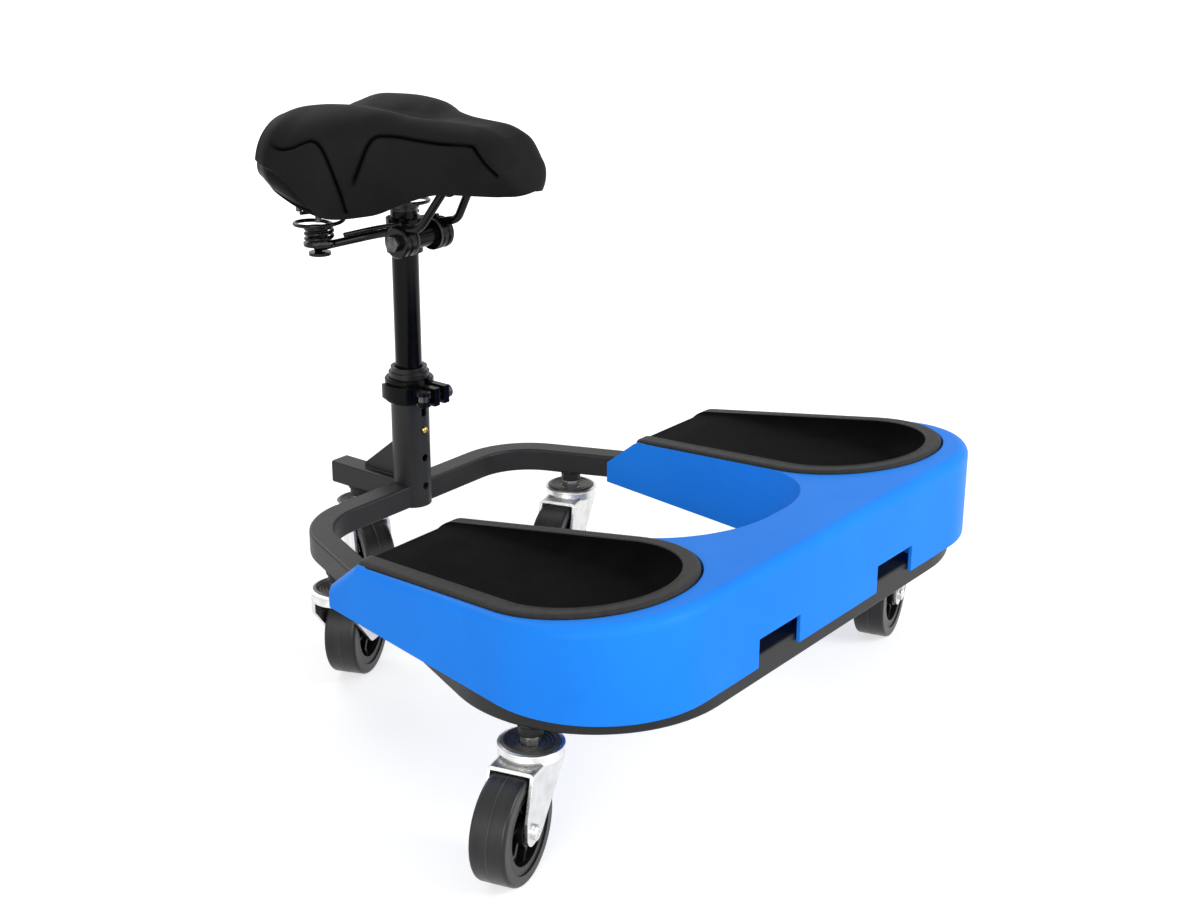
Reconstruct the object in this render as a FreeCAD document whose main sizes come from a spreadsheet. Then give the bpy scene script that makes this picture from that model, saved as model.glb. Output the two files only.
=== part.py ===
import FreeCAD, Part
import math
import os
import types

import Sketcher
from FreeCAD import Placement, Rotation, Vector

# Rolling kneeling stool: a bent square-tube frame on five swivel casters carries a moulded tray
# with two knee troughs in front and a sprung saddle on a height-adjustable post behind.
# X is across the stool, -Y is the front (the tray), +Z is up.
# The origin lies on the floor below the axis of the seat post.

SIZES = {
    # general fits
    "running_fit": 0.05,
    "part_gap": 0.3,
    # casters
    "wheel_diameter": 76.0,
    "wheel_width": 26.0,
    "caster_trail": 31.7,
    "tyre_depth": 8.0,
    "tyre_shoulder": 2.5,
    "rim_depth": 6.0,
    "rim_inset": 1.0,
    "web_thickness": 6.0,
    "hub_radius": 10.5,
    "rib_thickness": 3.2,
    "rib_width": 17.0,
    "rib_sweep": 5.0,
    "axle_radius": 4.0,
    "axle_head_radius": 5.3,
    "axle_head_height": 2.6,
    "bush_wall": 2.0,
    "side_play": 1.2,
    "fork_sheet": 2.5,
    "fork_bend": 3.5,
    "crown_clearance": 1.1,
    "crown_back": 16.0,
    "crown_front": 32.0,
    "leg_neck": 11.0,
    "leg_end": 10.0,
    "leg_round": 8.0,
    "crown_rise": 3.0,
    "skirt_radius": 22.4,
    "dish_radius": 20.8,
    "race_radius": 22.8,
    "race_rim": 2.0,
    "race_step": 1.6,
    "race_step_radius": 18.6,
    "race_lip": 1.0,
    "race_nut_radius": 9.0,
    "race_nut_height": 2.8,
    "stem_radius": 5.0,
    "stem_head_radius": 8.0,
    "stem_head_height": 3.2,
    "boss_radius": 8.5,
    "boss_height": 8.0,
    # tube frame
    "tube_size": 20.0,
    "tube_wall": 1.5,
    "tube_corner": 2.2,
    "tube_underside": 99.0,
    "rear_corner": 121.0,
    "frame_depth": 408.0,
    "side_angle": 22.3,
    "rear_bend": 60.0,
    "front_bend": 95.0,
    "front_caster_turn": 12.0,
    "rear_caster_setback": 57.0,
    "tail_caster_setback": 64.0,
    "tail_length": 84.6,
    "plug_thickness": 3.0,
    "plug_depth": 10.0,
    "gusset_height": 31.0,
    "gusset_length": 38.0,
    "gusset_toe": 4.0,
    "gusset_thickness": 5.0,
    # seat tube, bush and clamp
    "seat_tube_radius": 15.9,
    "seat_tube_wall": 2.0,
    "seat_tube_height": 113.0,
    "slot_width": 5.5,
    "slot_length": 33.3,
    "hole_radius": 3.3,
    "top_hole_height": 68.3,
    "hole_pitch": 25.0,
    "bush_length": 27.0,
    "bush_flange_radius": 17.0,
    "bush_flange_height": 4.6,
    "bush_rim_radius": 15.2,
    "bush_rim_height": 9.0,
    "bush_bevel": 1.5,
    "collar_height": 20.5,
    "collar_wall": 4.6,
    "collar_chamfer": 1.2,
    "ear_reach": 37.0,
    "ear_thickness": 6.0,
    "ear_height": 15.0,
    "clamp_bolt_radius": 2.5,
    "clamp_bolt_setback": 31.0,
    "clamp_nut_radius": 5.5,
    "clamp_nut_height": 5.0,
    "lever_offset": 7.0,
    "lever_hub_radius": 6.0,
    "lever_height": 12.0,
    "lever_slot": 5.8,
    "lever_eye_radius": 4.6,
    "lever_pin_radius": 2.0,
    "lever_thickness": 3.0,
    "lever_end_angle": 150.0,
    # seat post
    "post_radius": 11.1,
    "post_wall": 2.0,
    "post_insert": 82.0,
    "post_above_clamp": 20.0,
    "cap_height": 3.0,
    "button_radius": 3.0,
    "button_head_radius": 4.5,
    "button_head_height": 1.2,
    "leaf_thickness": 0.7,
    "leaf_width": 7.0,
    "leaf_length": 26.0,
    # saddle clamp
    "clamp_height": 332.4,
    "clamp_setback": 17.0,
    "sleeve_wall": 3.9,
    "sleeve_height": 28.0,
    "barrel_radius": 8.6,
    "barrel_half": 15.0,
    "head_disc_radius": 12.5,
    "head_disc_thickness": 2.6,
    "cheek_radius": 13.0,
    "cheek_split": 0.8,
    "cheek_outer": 6.1,
    "cheek_chamfer": 1.2,
    "saddle_bolt_radius": 4.0,
    "saddle_nut_radius": 7.0,
    "saddle_nut_height": 5.0,
    # rails and springs
    "rail_radius": 3.4,
    "rail_half": 22.0,
    "rail_rise": 8.7,
    "rail_slope": 12.9,
    "rail_front": 21.5,
    "rail_rear": 25.0,
    "rail_end_half": 50.0,
    "rail_end_setback": 52.6,
    "rail_end_drop": 3.0,
    "rail_rear_bend": 40.0,
    "rail_front_bend": 16.0,
    "nose_half": 14.0,
    "nose_setback": 66.0,
    "nose_rise": 55.6,
    "nose_bend": 6.0,
    "stay_radius": 1.8,
    "stay_rise": 5.4,
    "stay_end": 32.0,
    "spring_half": 50.0,
    "spring_setback": 47.0,
    "spring_wire_radius": 1.6,
    "spring_coil_radius": 10.8,
    "spring_loop_radius": 20.5,
    "spring_pitch": 4.2,
    "seat_disc_radius": 13.0,
    "seat_disc_height": 2.4,
    "spring_washer_radius": 9.1,
    "spring_bolt_radius": 2.5,
    "spring_bolt_drop": 14.5,
    # saddle
    "pan_gap": 0.9,
    "pan_thickness": 2.5,
    "bracket_radius": 6.4,
    "bracket_half": 5.6,
    # tray
    "shell_overhang": 3.5,
    "shell_rear": 122.0,
    "shell_rear_half": 216.5,
    "shell_side_angle": 11.3,
    "shell_corner": 89.0,
    "shell_wall": 2.8,
    "shell_overlap": 6.5,
    "shell_rear_height": 17.5,
    "shell_chamfer": 33.0,
    "shell_edge_round": 8.0,
    "shell_top": 152.3,
    "shell_top_angle": 6.4,
    "cut_rear_half": 113.0,
    "cut_side_angle": 7.5,
    "bridge_depth": 56.5,
    "cut_corner": 82.0,
    "notch_inner": 53.5,
    "notch_outer": 105.0,
    "notch_height": 15.0,
    "pad_front_margin": 22.8,
    "pad_rear": 159.0,
    "pad_rear_inner": 111.0,
    "pad_rear_outer": 218.5,
    "pad_inner_taper": 8.1,
    "pad_outer_taper": 10.2,
    "pad_rear_corner": 12.0,
    "pad_proud": 2.8,
    "pad_floor": 142.0,
    "pad_recess_gap": 1.0,
    "bowl_margin": 13.0,
    "bowl_floor": 159.0,
    "bowl_round": 8.0,
    "tray_boss_radius": 7.0,
    "tray_boss_front": 128.0,
    "tray_boss_side": 195.0,
    "screw_radius": 2.4,
    "screw_head_radius": 5.0,
    "screw_head_height": 2.5,
    "screw_grip": 14.0,
}

# direction from each swivel axis to its wheel centre, in degrees from +X
HEADINGS = {
    "front_left": 194.0,
    "front_right": 195.0,
    "rear_left": 197.0,
    "rear_right": 23.0,
    "tail": 240.0,
}

# turns of a saddle spring: close coils, the widening half turn and the loop under the saddle
COIL_TURNS = 3.0
WIDEN_TURNS = 0.5
LOOP_TURNS = 0.75
STEPS_PER_TURN = 4
TURN_STEP = 1e-4
WIDEN_RISE = 2.4
LOOP_RISE = 4.0

# saddle sections along Y: place, half width, shoulder radius, crown height above the clamp axis,
# dip between the lobes, half width and height of the lower edge, rise of the underside
SADDLE = [
    (-141.0, 13.0, 9.0, 78.0, 0.3, 9.5, 49.5, 3.0),
    (-133.0, 22.0, 14.0, 90.0, 0.3, 16.0, 47.0, 8.0),
    (-116.0, 27.5, 17.5, 99.0, 0.3, 21.0, 46.8, 13.0),
    (-95.0, 31.0, 20.0, 101.3, 0.3, 24.0, 46.5, 18.0),
    (-63.0, 36.0, 22.0, 99.6, 0.5, 27.0, 44.5, 22.0),
    (-35.0, 47.5, 28.0, 100.0, 2.5, 33.5, 35.5, 30.0),
    (-8.0, 64.5, 33.5, 102.4, 5.0, 46.0, 23.6, 42.0),
    (18.0, 81.0, 40.0, 104.8, 7.5, 63.5, 20.1, 49.0),
    (45.0, 90.0, 44.0, 105.0, 8.2, 75.5, 28.6, 41.0),
    (70.0, 88.5, 42.0, 102.6, 7.0, 76.5, 38.6, 30.0),
    (88.0, 78.0, 31.0, 95.0, 4.0, 68.0, 47.6, 16.0),
    (98.0, 56.0, 16.0, 83.0, 1.5, 48.0, 57.6, 5.0),
]
PAN_SECTIONS = slice(3, 10)
PAN_SHARE = 0.8
# share of the largest possible corner radius at the front of a knee pad
PAD_ROUND = 0.985
# adjusting holes in the seat tube and ribs on each side of a wheel
HOLE_COUNT = 3
RIB_COUNT = 6
# two places closer than this are the same place
SAME = 1e-4


class Dim:
    """A size of the sheet: its value now and the expression that keeps an object bound to it."""

    def __init__(self, value, text):
        self.value = float(value)
        self.text = text

    def __float__(self):
        return self.value

    def __neg__(self):
        return Dim(-self.value, f"(-1 * {self.text})")

    def __add__(self, other):
        other = sized(other)
        return Dim(self.value + other.value, f"({self.text} + {other.text})")

    def __sub__(self, other):
        other = sized(other)
        return Dim(self.value - other.value, f"({self.text} - {other.text})")

    def __mul__(self, other):
        other = sized(other)
        return Dim(self.value * other.value, f"({self.text} * {other.text})")

    def __truediv__(self, other):
        other = sized(other)
        return Dim(self.value / other.value, f"({self.text} / {other.text})")

    def __radd__(self, other):
        return sized(other) + self

    def __rsub__(self, other):
        return sized(other) - self

    def __rmul__(self, other):
        return sized(other) * self


def sized(value):
    if isinstance(value, Dim):
        return value
    return Dim(value, f"({float(value)})")


def cosine(angle):
    return Dim(math.cos(math.radians(angle.value)), f"cos({angle.text})")


def sine(angle):
    return Dim(math.sin(math.radians(angle.value)), f"sin({angle.text})")


def tangent(angle):
    return Dim(math.tan(math.radians(angle.value)), f"tan({angle.text})")


def sharp_run(angle):
    """Tangent length of a unit arc in a corner that is sharper than square by the angle."""
    return (1 + sine(angle)) / cosine(angle)


doc = FreeCAD.newDocument("rolling_stool")
sheet = doc.addObject("Spreadsheet::Sheet", "dims")
for row, (alias, size) in enumerate(SIZES.items(), start=1):
    sheet.set(f"A{row}", alias)
    sheet.set(f"B{row}", str(size))
    sheet.setAlias(f"B{row}", alias)
doc.recompute()
s = types.SimpleNamespace(**{alias: Dim(getattr(sheet, alias), f"dims.{alias}") for alias in SIZES})
nodes = []


def node(item, name):
    """Name a finished sub-part, which is written to its own file."""
    item.Label = name
    nodes.append(item)
    return item


def bind(item, prop, size):
    item.setExpression(prop, sized(size).text)


TURNS = {"z": Rotation(), "x": Rotation(Vector(0, 1, 0), 90), "y": Rotation(Vector(1, 0, 0), -90)}


def place(item, at, rotation=None):
    item.Placement = Placement(Vector(*map(float, at)), rotation or Rotation())
    for letter, size in zip("xyz", at):
        bind(item, f"Placement.Base.{letter}", size)
    return item


def cylinder(name, radius, length, at, axis="z"):
    item = doc.addObject("Part::Cylinder", name)
    bind(item, "Radius", radius)
    bind(item, "Height", length)
    return place(item, at, TURNS[axis])


def box(name, low, high):
    item = doc.addObject("Part::Box", name)
    for prop, start, end in zip(("Length", "Width", "Height"), low, high):
        bind(item, prop, sized(end) - start)
    return place(item, low)


def cut(name, base, *tools):
    for number, tool in enumerate(tools):
        item = doc.addObject("Part::Cut", name if number == len(tools) - 1 else f"{name}_cut")
        item.Base = base
        item.Tool = tool
        base = item
    return base


def fuse(name, *items):
    item = doc.addObject("Part::MultiFuse", name)
    item.Shapes = list(items)
    item.Refine = True
    return item


def common(name, *items):
    item = doc.addObject("Part::MultiCommon", name)
    item.Shapes = list(items)
    return item


def group(name, items):
    item = doc.addObject("Part::Compound", name)
    item.Links = list(items)
    return node(item, name)


def sketch_on(body, plane, offset=0.0):
    sketch = body.newObject("Sketcher::SketchObject", f"{body.Name}_sketch")
    support = next(item for item in body.Origin.OriginFeatures if item.Role == plane)
    sketch.AttachmentSupport = [(support, "")]
    sketch.MapMode = "FlatFace"
    bind(sketch, "AttachmentOffset.Base.z", offset)
    return sketch


def hold(sketch, index, point, spot):
    """Fix one point of the sketch at bound distances from the sketch's origin."""
    for kind, size in zip(("DistanceX", "DistanceY"), spot):
        number = sketch.addConstraint(Sketcher.Constraint(kind, -1, 1, index, point, float(size)))
        sketch.setExpression(f"Constraints[{number}]", sized(size).text)


def polygon(sketch, outline):
    corners = [Vector(float(x), float(y), 0) for x, y in outline]
    count = len(corners)
    for index in range(count):
        sketch.addGeometry(Part.LineSegment(corners[index], corners[(index + 1) % count]))
    for index in range(count):
        sketch.addConstraint(Sketcher.Constraint("Coincident", index, 2, (index + 1) % count, 1))
    for index, spot in enumerate(outline):
        hold(sketch, index, 1, spot)
    return sketch


def circle(sketch, spot, radius):
    middle = Vector(float(spot[0]), float(spot[1]), 0)
    sketch.addGeometry(Part.Circle(middle, Vector(0, 0, 1), float(radius)))
    hold(sketch, 0, 3, spot)
    number = sketch.addConstraint(Sketcher.Constraint("Radius", 0, float(radius)))
    sketch.setExpression(f"Constraints[{number}]", sized(radius).text)
    return sketch


def new_body(name):
    return doc.addObject("PartDesign::Body", name)


def extrude(body, kind, sketch, length, symmetric=False):
    feature = body.newObject(f"PartDesign::{kind}", f"{body.Name}_{kind.lower()}")
    feature.Profile = sketch
    bind(feature, "Length", length)
    if symmetric:
        feature.SideType = "Symmetric"
    return feature


def round_edges(body, wanted, radius):
    """Round the edges of the body's last feature that the given test picks."""
    doc.recompute()
    names = [f"Edge{n}" for n, edge in enumerate(body.Tip.Shape.Edges, start=1) if wanted(edge)]
    base = body.Tip
    feature = body.newObject("PartDesign::Fillet", f"{body.Name}_fillet")
    feature.Base = (base, names)
    bind(feature, "Radius", radius)
    doc.recompute()
    return feature


def upright_at(corners, level):
    """Test for the rising edges that start at the given corners of an outline."""
    feet = [Vector(float(x), float(y), float(level)) for x, y in corners]

    def wanted(edge):
        ends = sorted((vertex.Point for vertex in edge.Vertexes), key=lambda point: point.z)
        if len(ends) != 2 or ends[1].z - ends[0].z < SAME:
            return False
        return any(ends[0].distanceToPoint(foot) < SAME for foot in feet)

    return wanted


def prism(name, outline, low, high, rounds=()):
    """Upright prism on an outline, with its corners rounded in the given sets."""
    body = new_body(name)
    extrude(body, "Pad", polygon(sketch_on(body, "XY_Plane", low), outline), sized(high) - low)
    for numbers, radius in rounds:
        round_edges(body, upright_at([outline[number] for number in numbers], low), radius)
    return body


def side_prism(name, outline, width):
    """Prism across the stool on an outline of Y and Z places."""
    body = new_body(name)
    extrude(body, "Pad", polygon(sketch_on(body, "YZ_Plane"), outline), width, symmetric=True)
    return body


def turned(name, outline, about="z"):
    """Solid of revolution about Z (radius, height) or about Y (place, radius)."""
    body = new_body(name)
    sketch = polygon(sketch_on(body, "XZ_Plane" if about == "z" else "YZ_Plane"), outline)
    turn = body.newObject("PartDesign::Revolution", f"{name}_turn")
    turn.Profile = sketch
    turn.ReferenceAxis = (sketch, ["V_Axis" if about == "z" else "H_Axis"])
    turn.Angle = 360.0
    return body


def ring(name, inner, outer, low, high):
    return turned(name, [(inner, low), (outer, low), (outer, high), (inner, high)])


def shape_node(name, shape):
    item = doc.addObject("Part::Feature", name)
    item.Shape = shape
    return node(item, name)


# shared levels and places
tube_top = s.tube_underside + s.tube_size
half_tube = s.tube_size / 2
seat_top = s.tube_underside + s.seat_tube_height
seat_bore = s.seat_tube_radius - s.seat_tube_wall
wheel_radius = s.wheel_diameter / 2
crown_low = s.wheel_diameter + s.crown_clearance
crown_high = crown_low + s.fork_sheet
neck_high = crown_high + s.crown_rise
race_low = neck_high + s.part_gap
front_vertex = s.rear_corner + s.frame_depth * tangent(s.side_angle)
bend_run = s.front_bend * sharp_run(s.side_angle)
bend_x = front_vertex - bend_run
bend_y = s.front_bend - s.frame_depth
front_x = bend_x + s.front_bend * cosine(s.front_caster_turn)
front_y = bend_y - s.front_bend * sine(s.front_caster_turn)
rear_x = s.rear_corner + s.rear_caster_setback * tangent(s.side_angle)
CASTERS = {
    "front_left": (front_x, front_y),
    "front_right": (-front_x, front_y),
    "rear_left": (rear_x, -s.rear_caster_setback),
    "rear_right": (-rear_x, -s.rear_caster_setback),
    "tail": (sized(0.0), s.tail_caster_setback),
}
TRAY_BOSSES = [
    (side * x, y)
    for side in (sized(1.0), sized(-1.0))
    for x, y in (
        (s.tray_boss_front, -s.frame_depth),
        (s.rear_corner + s.tray_boss_side * tangent(s.side_angle), -s.tray_boss_side),
    )
]


def frame_outline(offset):
    """Corners of the frame's centreline trapezium moved outwards by the offset."""
    spread = offset / cosine(s.side_angle)
    rear = s.rear_corner - offset * tangent(s.side_angle) + spread
    depth = s.frame_depth + offset
    front = s.rear_corner + depth * tangent(s.side_angle) + spread
    return [(-rear, offset), (rear, offset), (front, -depth), (-front, -depth)]


def frame_prism(name, offset, low, high):
    rounds = [((0, 1), s.rear_bend + offset), ((2, 3), s.front_bend + offset)]
    return prism(name, frame_outline(offset), low, high, rounds)


def frame_blank():
    """Solid loop of the frame with the tube's long edges rounded."""
    inside = frame_prism("frame_inside", -half_tube, s.tube_underside, tube_top)
    body = frame_prism("frame_blank", half_tube, s.tube_underside, tube_top)
    hole = body.newObject("PartDesign::Boolean", "frame_blank_hole")
    hole.setObjects([inside])
    hole.Type = "Cut"

    def level(edge):
        return edge.BoundBox.ZLength < SAME

    round_edges(body, level, s.tube_corner)
    return body


def build_frame():
    """Bent square tube loop, butted against the seat tube and drilled for the tray screws."""
    inside = half_tube - s.tube_wall
    bore_low = s.tube_underside + s.tube_wall
    bore_high = tube_top - s.tube_wall
    bore = cut(
        "frame_bore",
        frame_prism("frame_bore_outer", inside, bore_low, bore_high),
        frame_prism("frame_bore_inner", -inside, bore_low, bore_high),
    )
    loop = cut("frame_loop", frame_blank(), bore, seat_cutter("frame_cope"))
    holes = [
        cylinder(f"frame_hole_{n}", s.screw_radius, s.tube_size, (x, y, s.tube_underside))
        for n, (x, y) in enumerate(TRAY_BOSSES)
    ]
    node(cut("base_frame", loop, *holes), "base_frame")


def seat_cutter(name):
    return cylinder(name, s.seat_tube_radius, s.seat_tube_height, (0.0, 0.0, s.tube_underside))


def build_seat_tube():
    tube = ring("seat_tube_pipe", seat_bore, s.seat_tube_radius, s.tube_underside, seat_top)
    slot_half = s.slot_width / 2
    slot_low = seat_top - s.slot_length + slot_half
    outside = -s.seat_tube_radius - s.part_gap
    slot = box("seat_tube_slot", (-slot_half, outside, slot_low), (slot_half, 0.0, seat_top + s.part_gap))
    slot_end = cylinder("seat_tube_slot_end", slot_half, s.seat_tube_radius, (0.0, outside, slot_low), "y")
    top_hole = s.tube_underside + s.top_hole_height
    holes = [
        cylinder(
            f"seat_tube_hole_{n}",
            s.hole_radius,
            s.seat_tube_radius,
            (0.0, outside, top_hole - n * s.hole_pitch),
            "y",
        )
        for n in range(HOLE_COUNT)
    ]
    node(cut("seat_tube", tube, slot, slot_end, *holes), "seat_tube")


def square_bar(name, start, end):
    """Solid bar along Y with the section and the rounded edges of the frame tube."""
    body = new_body(name)
    outline = [
        (-half_tube, s.tube_underside),
        (half_tube, s.tube_underside),
        (half_tube, tube_top),
        (-half_tube, tube_top),
    ]
    extrude(body, "Pad", polygon(sketch_on(body, "XZ_Plane", -sized(end)), outline), sized(end) - start)

    def along(edge):
        return edge.BoundBox.YLength > SAME

    round_edges(body, along, s.tube_corner)
    return body


def build_tail():
    """Tail stub behind the seat tube, its end plug and the gusset above it."""
    inside = half_tube - s.tube_wall
    stub = square_bar("tail_block", 0.0, s.tail_length)
    bore = box(
        "tail_bore",
        (-inside, 0.0, s.tube_underside + s.tube_wall),
        (inside, s.tail_length, tube_top - s.tube_wall),
    )
    node(cut("tail_tube", stub, bore, seat_cutter("tail_cope")), "tail_tube")
    plate = square_bar("plug_plate", s.tail_length, s.tail_length + s.plug_thickness)
    spigot = inside - s.running_fit
    middle = s.tube_underside + half_tube
    tongue = box(
        "plug_tongue",
        (-spigot, s.tail_length - s.plug_depth, middle - spigot),
        (spigot, s.tail_length, middle + spigot),
    )
    node(fuse("tail_plug", plate, tongue), "tail_plug")
    toe = s.seat_tube_radius + s.gusset_length
    blank = side_prism(
        "gusset_blank",
        [
            (sized(0.0), tube_top),
            (toe, tube_top),
            (toe, tube_top + s.gusset_toe),
            (s.seat_tube_radius + s.gusset_toe, tube_top + s.gusset_height),
            (sized(0.0), tube_top + s.gusset_height),
        ],
        s.gusset_thickness,
    )
    node(cut("tail_gusset", blank, seat_cutter("gusset_cope")), "tail_gusset")


def build_caster_mounts():
    """Welded bosses, the swivel stems in them and the fixed races above the forks."""
    boss_low = s.tube_underside - s.boss_height
    bosses, stems, races = [], [], []
    head_high = crown_low - s.part_gap
    head_low = head_high - s.stem_head_height
    rim_high = race_low + s.race_rim
    step_high = rim_high + s.race_step
    nut_high = step_high + s.race_nut_height
    for name, (x, y) in CASTERS.items():
        boss = ring(f"boss_{name}", s.stem_radius, s.boss_radius, boss_low, s.tube_underside)
        stem = turned(
            f"stem_{name}",
            [
                (0.0, head_low),
                (s.stem_head_radius, head_low),
                (s.stem_head_radius, head_high),
                (s.stem_radius, head_high),
                (s.stem_radius, s.tube_underside),
                (0.0, s.tube_underside),
            ],
        )
        race = turned(
            f"race_{name}",
            [
                (s.stem_radius, race_low),
                (s.race_radius, race_low),
                (s.race_radius, rim_high),
                (s.race_step_radius, step_high),
                (s.race_step_radius - s.race_lip, step_high),
                (s.race_step_radius - s.race_lip - s.race_step, rim_high),
                (s.race_nut_radius, rim_high),
                (s.race_nut_radius, nut_high),
                (s.stem_radius, nut_high),
            ],
        )
        for items, item in ((bosses, boss), (stems, stem), (races, race)):
            items.append(place(item, (x, y, 0.0)))
    group("caster_bosses", bosses)
    group("caster_stems", stems)
    group("upper_races", races)


def build_fork(name, at, rotation, inner_half):
    """Pressed fork: a crown with a round dish and two tapering legs around the wheel."""
    body = new_body(name)
    width = 2 * (inner_half + s.fork_sheet)
    end_x = s.caster_trail
    legs = [
        (-s.crown_back, crown_high),
        (-s.crown_back, crown_high - s.leg_neck),
        (end_x - s.leg_end, wheel_radius - s.leg_end + s.fork_sheet),
        (end_x + s.leg_end, wheel_radius - s.leg_end),
        (end_x + s.leg_end, wheel_radius + s.leg_end),
        (s.crown_front, crown_high),
    ]
    extrude(body, "Pad", polygon(sketch_on(body, "XZ_Plane"), legs), width, symmetric=True)
    ends = [Vector(float(x), 0, float(z)) for x, z in legs[2:4]]

    def leg_end(edge):
        middle = edge.CenterOfMass
        return any(math.hypot(middle.x - end.x, middle.z - end.z) < SAME for end in ends)

    def crown_side(edge):
        bounds = edge.BoundBox
        return bounds.ZMin > float(crown_high) - SAME and bounds.XLength > SAME

    round_edges(body, leg_end, s.leg_round)
    round_edges(body, crown_side, s.fork_bend)
    reach = s.caster_trail + s.wheel_diameter
    gap = [(-reach, 0.0), (reach, 0.0), (reach, crown_low), (-reach, crown_low)]
    extrude(body, "Pocket", polygon(sketch_on(body, "XZ_Plane"), gap), 2 * inner_half, symmetric=True)
    skirt = body.newObject("PartDesign::AdditiveCone", f"{name}_skirt")
    floor = next(item for item in body.Origin.OriginFeatures if item.Role == "XY_Plane")
    skirt.AttachmentSupport = [(floor, "")]
    skirt.MapMode = "FlatFace"
    bind(skirt, "AttachmentOffset.Base.z", crown_low)
    bind(skirt, "Radius1", s.skirt_radius)
    bind(skirt, "Radius2", s.dish_radius)
    bind(skirt, "Height", neck_high - crown_low)
    hole = circle(sketch_on(body, "XY_Plane", neck_high), (0.0, 0.0), s.stem_radius + s.running_fit)
    extrude(body, "Pocket", hole, neck_high - crown_low)
    axle_hole = circle(sketch_on(body, "XZ_Plane"), (end_x, wheel_radius), s.axle_radius)
    extrude(body, "Pocket", axle_hole, width, symmetric=True)
    node(place(body, at, rotation), name)


def build_wheel(key, at, rotation, inner_half):
    """Axle, bush, ribbed wheel core and tyre about the wheel's own axis."""
    outer_half = inner_half + s.fork_sheet
    head_half = outer_half + s.axle_head_height
    axle = turned(
        f"axle_{key}",
        [
            (-head_half, 0.0),
            (head_half, 0.0),
            (head_half, s.axle_head_radius),
            (outer_half, s.axle_head_radius),
            (outer_half, s.axle_radius),
            (-outer_half, s.axle_radius),
            (-outer_half, s.axle_head_radius),
            (-head_half, s.axle_head_radius),
        ],
        "y",
    )
    bush_outer = s.axle_radius + s.bush_wall
    bush = turned(
        f"hub_bush_{key}",
        [
            (-inner_half, s.axle_radius),
            (inner_half, s.axle_radius),
            (inner_half, bush_outer),
            (-inner_half, bush_outer),
        ],
        "y",
    )
    half = s.wheel_width / 2
    rim_half = half - s.rim_inset
    web = s.web_thickness / 2
    tyre_inner = wheel_radius - s.tyre_depth
    rim_inner = tyre_inner - s.rim_depth
    side = [(half, bush_outer + s.running_fit), (half, s.hub_radius), (web, s.hub_radius)]
    side += [(web, rim_inner), (rim_half, rim_inner), (rim_half, tyre_inner)]
    core = turned(f"wheel_core_{key}", side + [(-y, radius) for y, radius in reversed(side)], "y")
    lean = s.rib_sweep
    thick = s.rib_thickness / 2
    mid_radius = (s.hub_radius + rim_inner) / 2
    foot = s.hub_radius - s.bush_wall
    top = rim_inner + s.rim_depth / 2
    rib = [
        (-thick, foot),
        (thick, foot),
        (lean + thick, mid_radius),
        (thick, top),
        (-thick, top),
        (lean - thick, mid_radius),
    ]
    pad = extrude(core, "Pad", polygon(sketch_on(core, "XZ_Plane"), rib), s.rib_width, symmetric=True)
    pattern = core.newObject("PartDesign::PolarPattern", f"{core.Name}_ribs")
    pattern.Originals = [pad]
    pattern.Axis = (next(item for item in core.Origin.OriginFeatures if item.Role == "Y_Axis"), [""])
    pattern.Angle = 360.0
    pattern.Occurrences = RIB_COUNT
    core.Tip = pattern
    tread = [(-half, tyre_inner), (half, tyre_inner), (half, wheel_radius), (-half, wheel_radius)]
    tyre = turned(f"tyre_{key}", tread, "y")

    def tread_edge(edge):
        return isinstance(edge.Curve, Part.Circle) and edge.Curve.Radius > float(wheel_radius) - SAME

    round_edges(tyre, tread_edge, s.tyre_shoulder)
    for item in (axle, bush, core, tyre):
        node(place(item, at, rotation), item.Name)


def build_casters():
    inner_half = s.wheel_width / 2 + s.side_play
    for key, (x, y) in CASTERS.items():
        heading = sized(HEADINGS[key])
        rotation = Rotation(Vector(0, 0, 1), HEADINGS[key])
        build_fork(f"fork_{key}", (x, y, 0.0), rotation, inner_half)
        hub = (x + s.caster_trail * cosine(heading), y + s.caster_trail * sine(heading), wheel_radius)
        build_wheel(key, hub, rotation, inner_half)


def build_post_bush():
    inner = s.post_radius + s.running_fit
    outline = [
        (inner, seat_top - s.bush_length),
        (seat_bore, seat_top - s.bush_length),
        (seat_bore, seat_top),
        (s.bush_flange_radius, seat_top),
        (s.bush_flange_radius, seat_top + s.bush_flange_height),
        (s.bush_rim_radius, seat_top + s.bush_flange_height),
        (s.bush_rim_radius, seat_top + s.bush_rim_height),
        (inner + s.bush_bevel, seat_top + s.bush_rim_height),
        (inner, seat_top + s.bush_rim_height - s.bush_bevel),
    ]
    node(turned("post_bush", outline), "post_bush")


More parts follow.
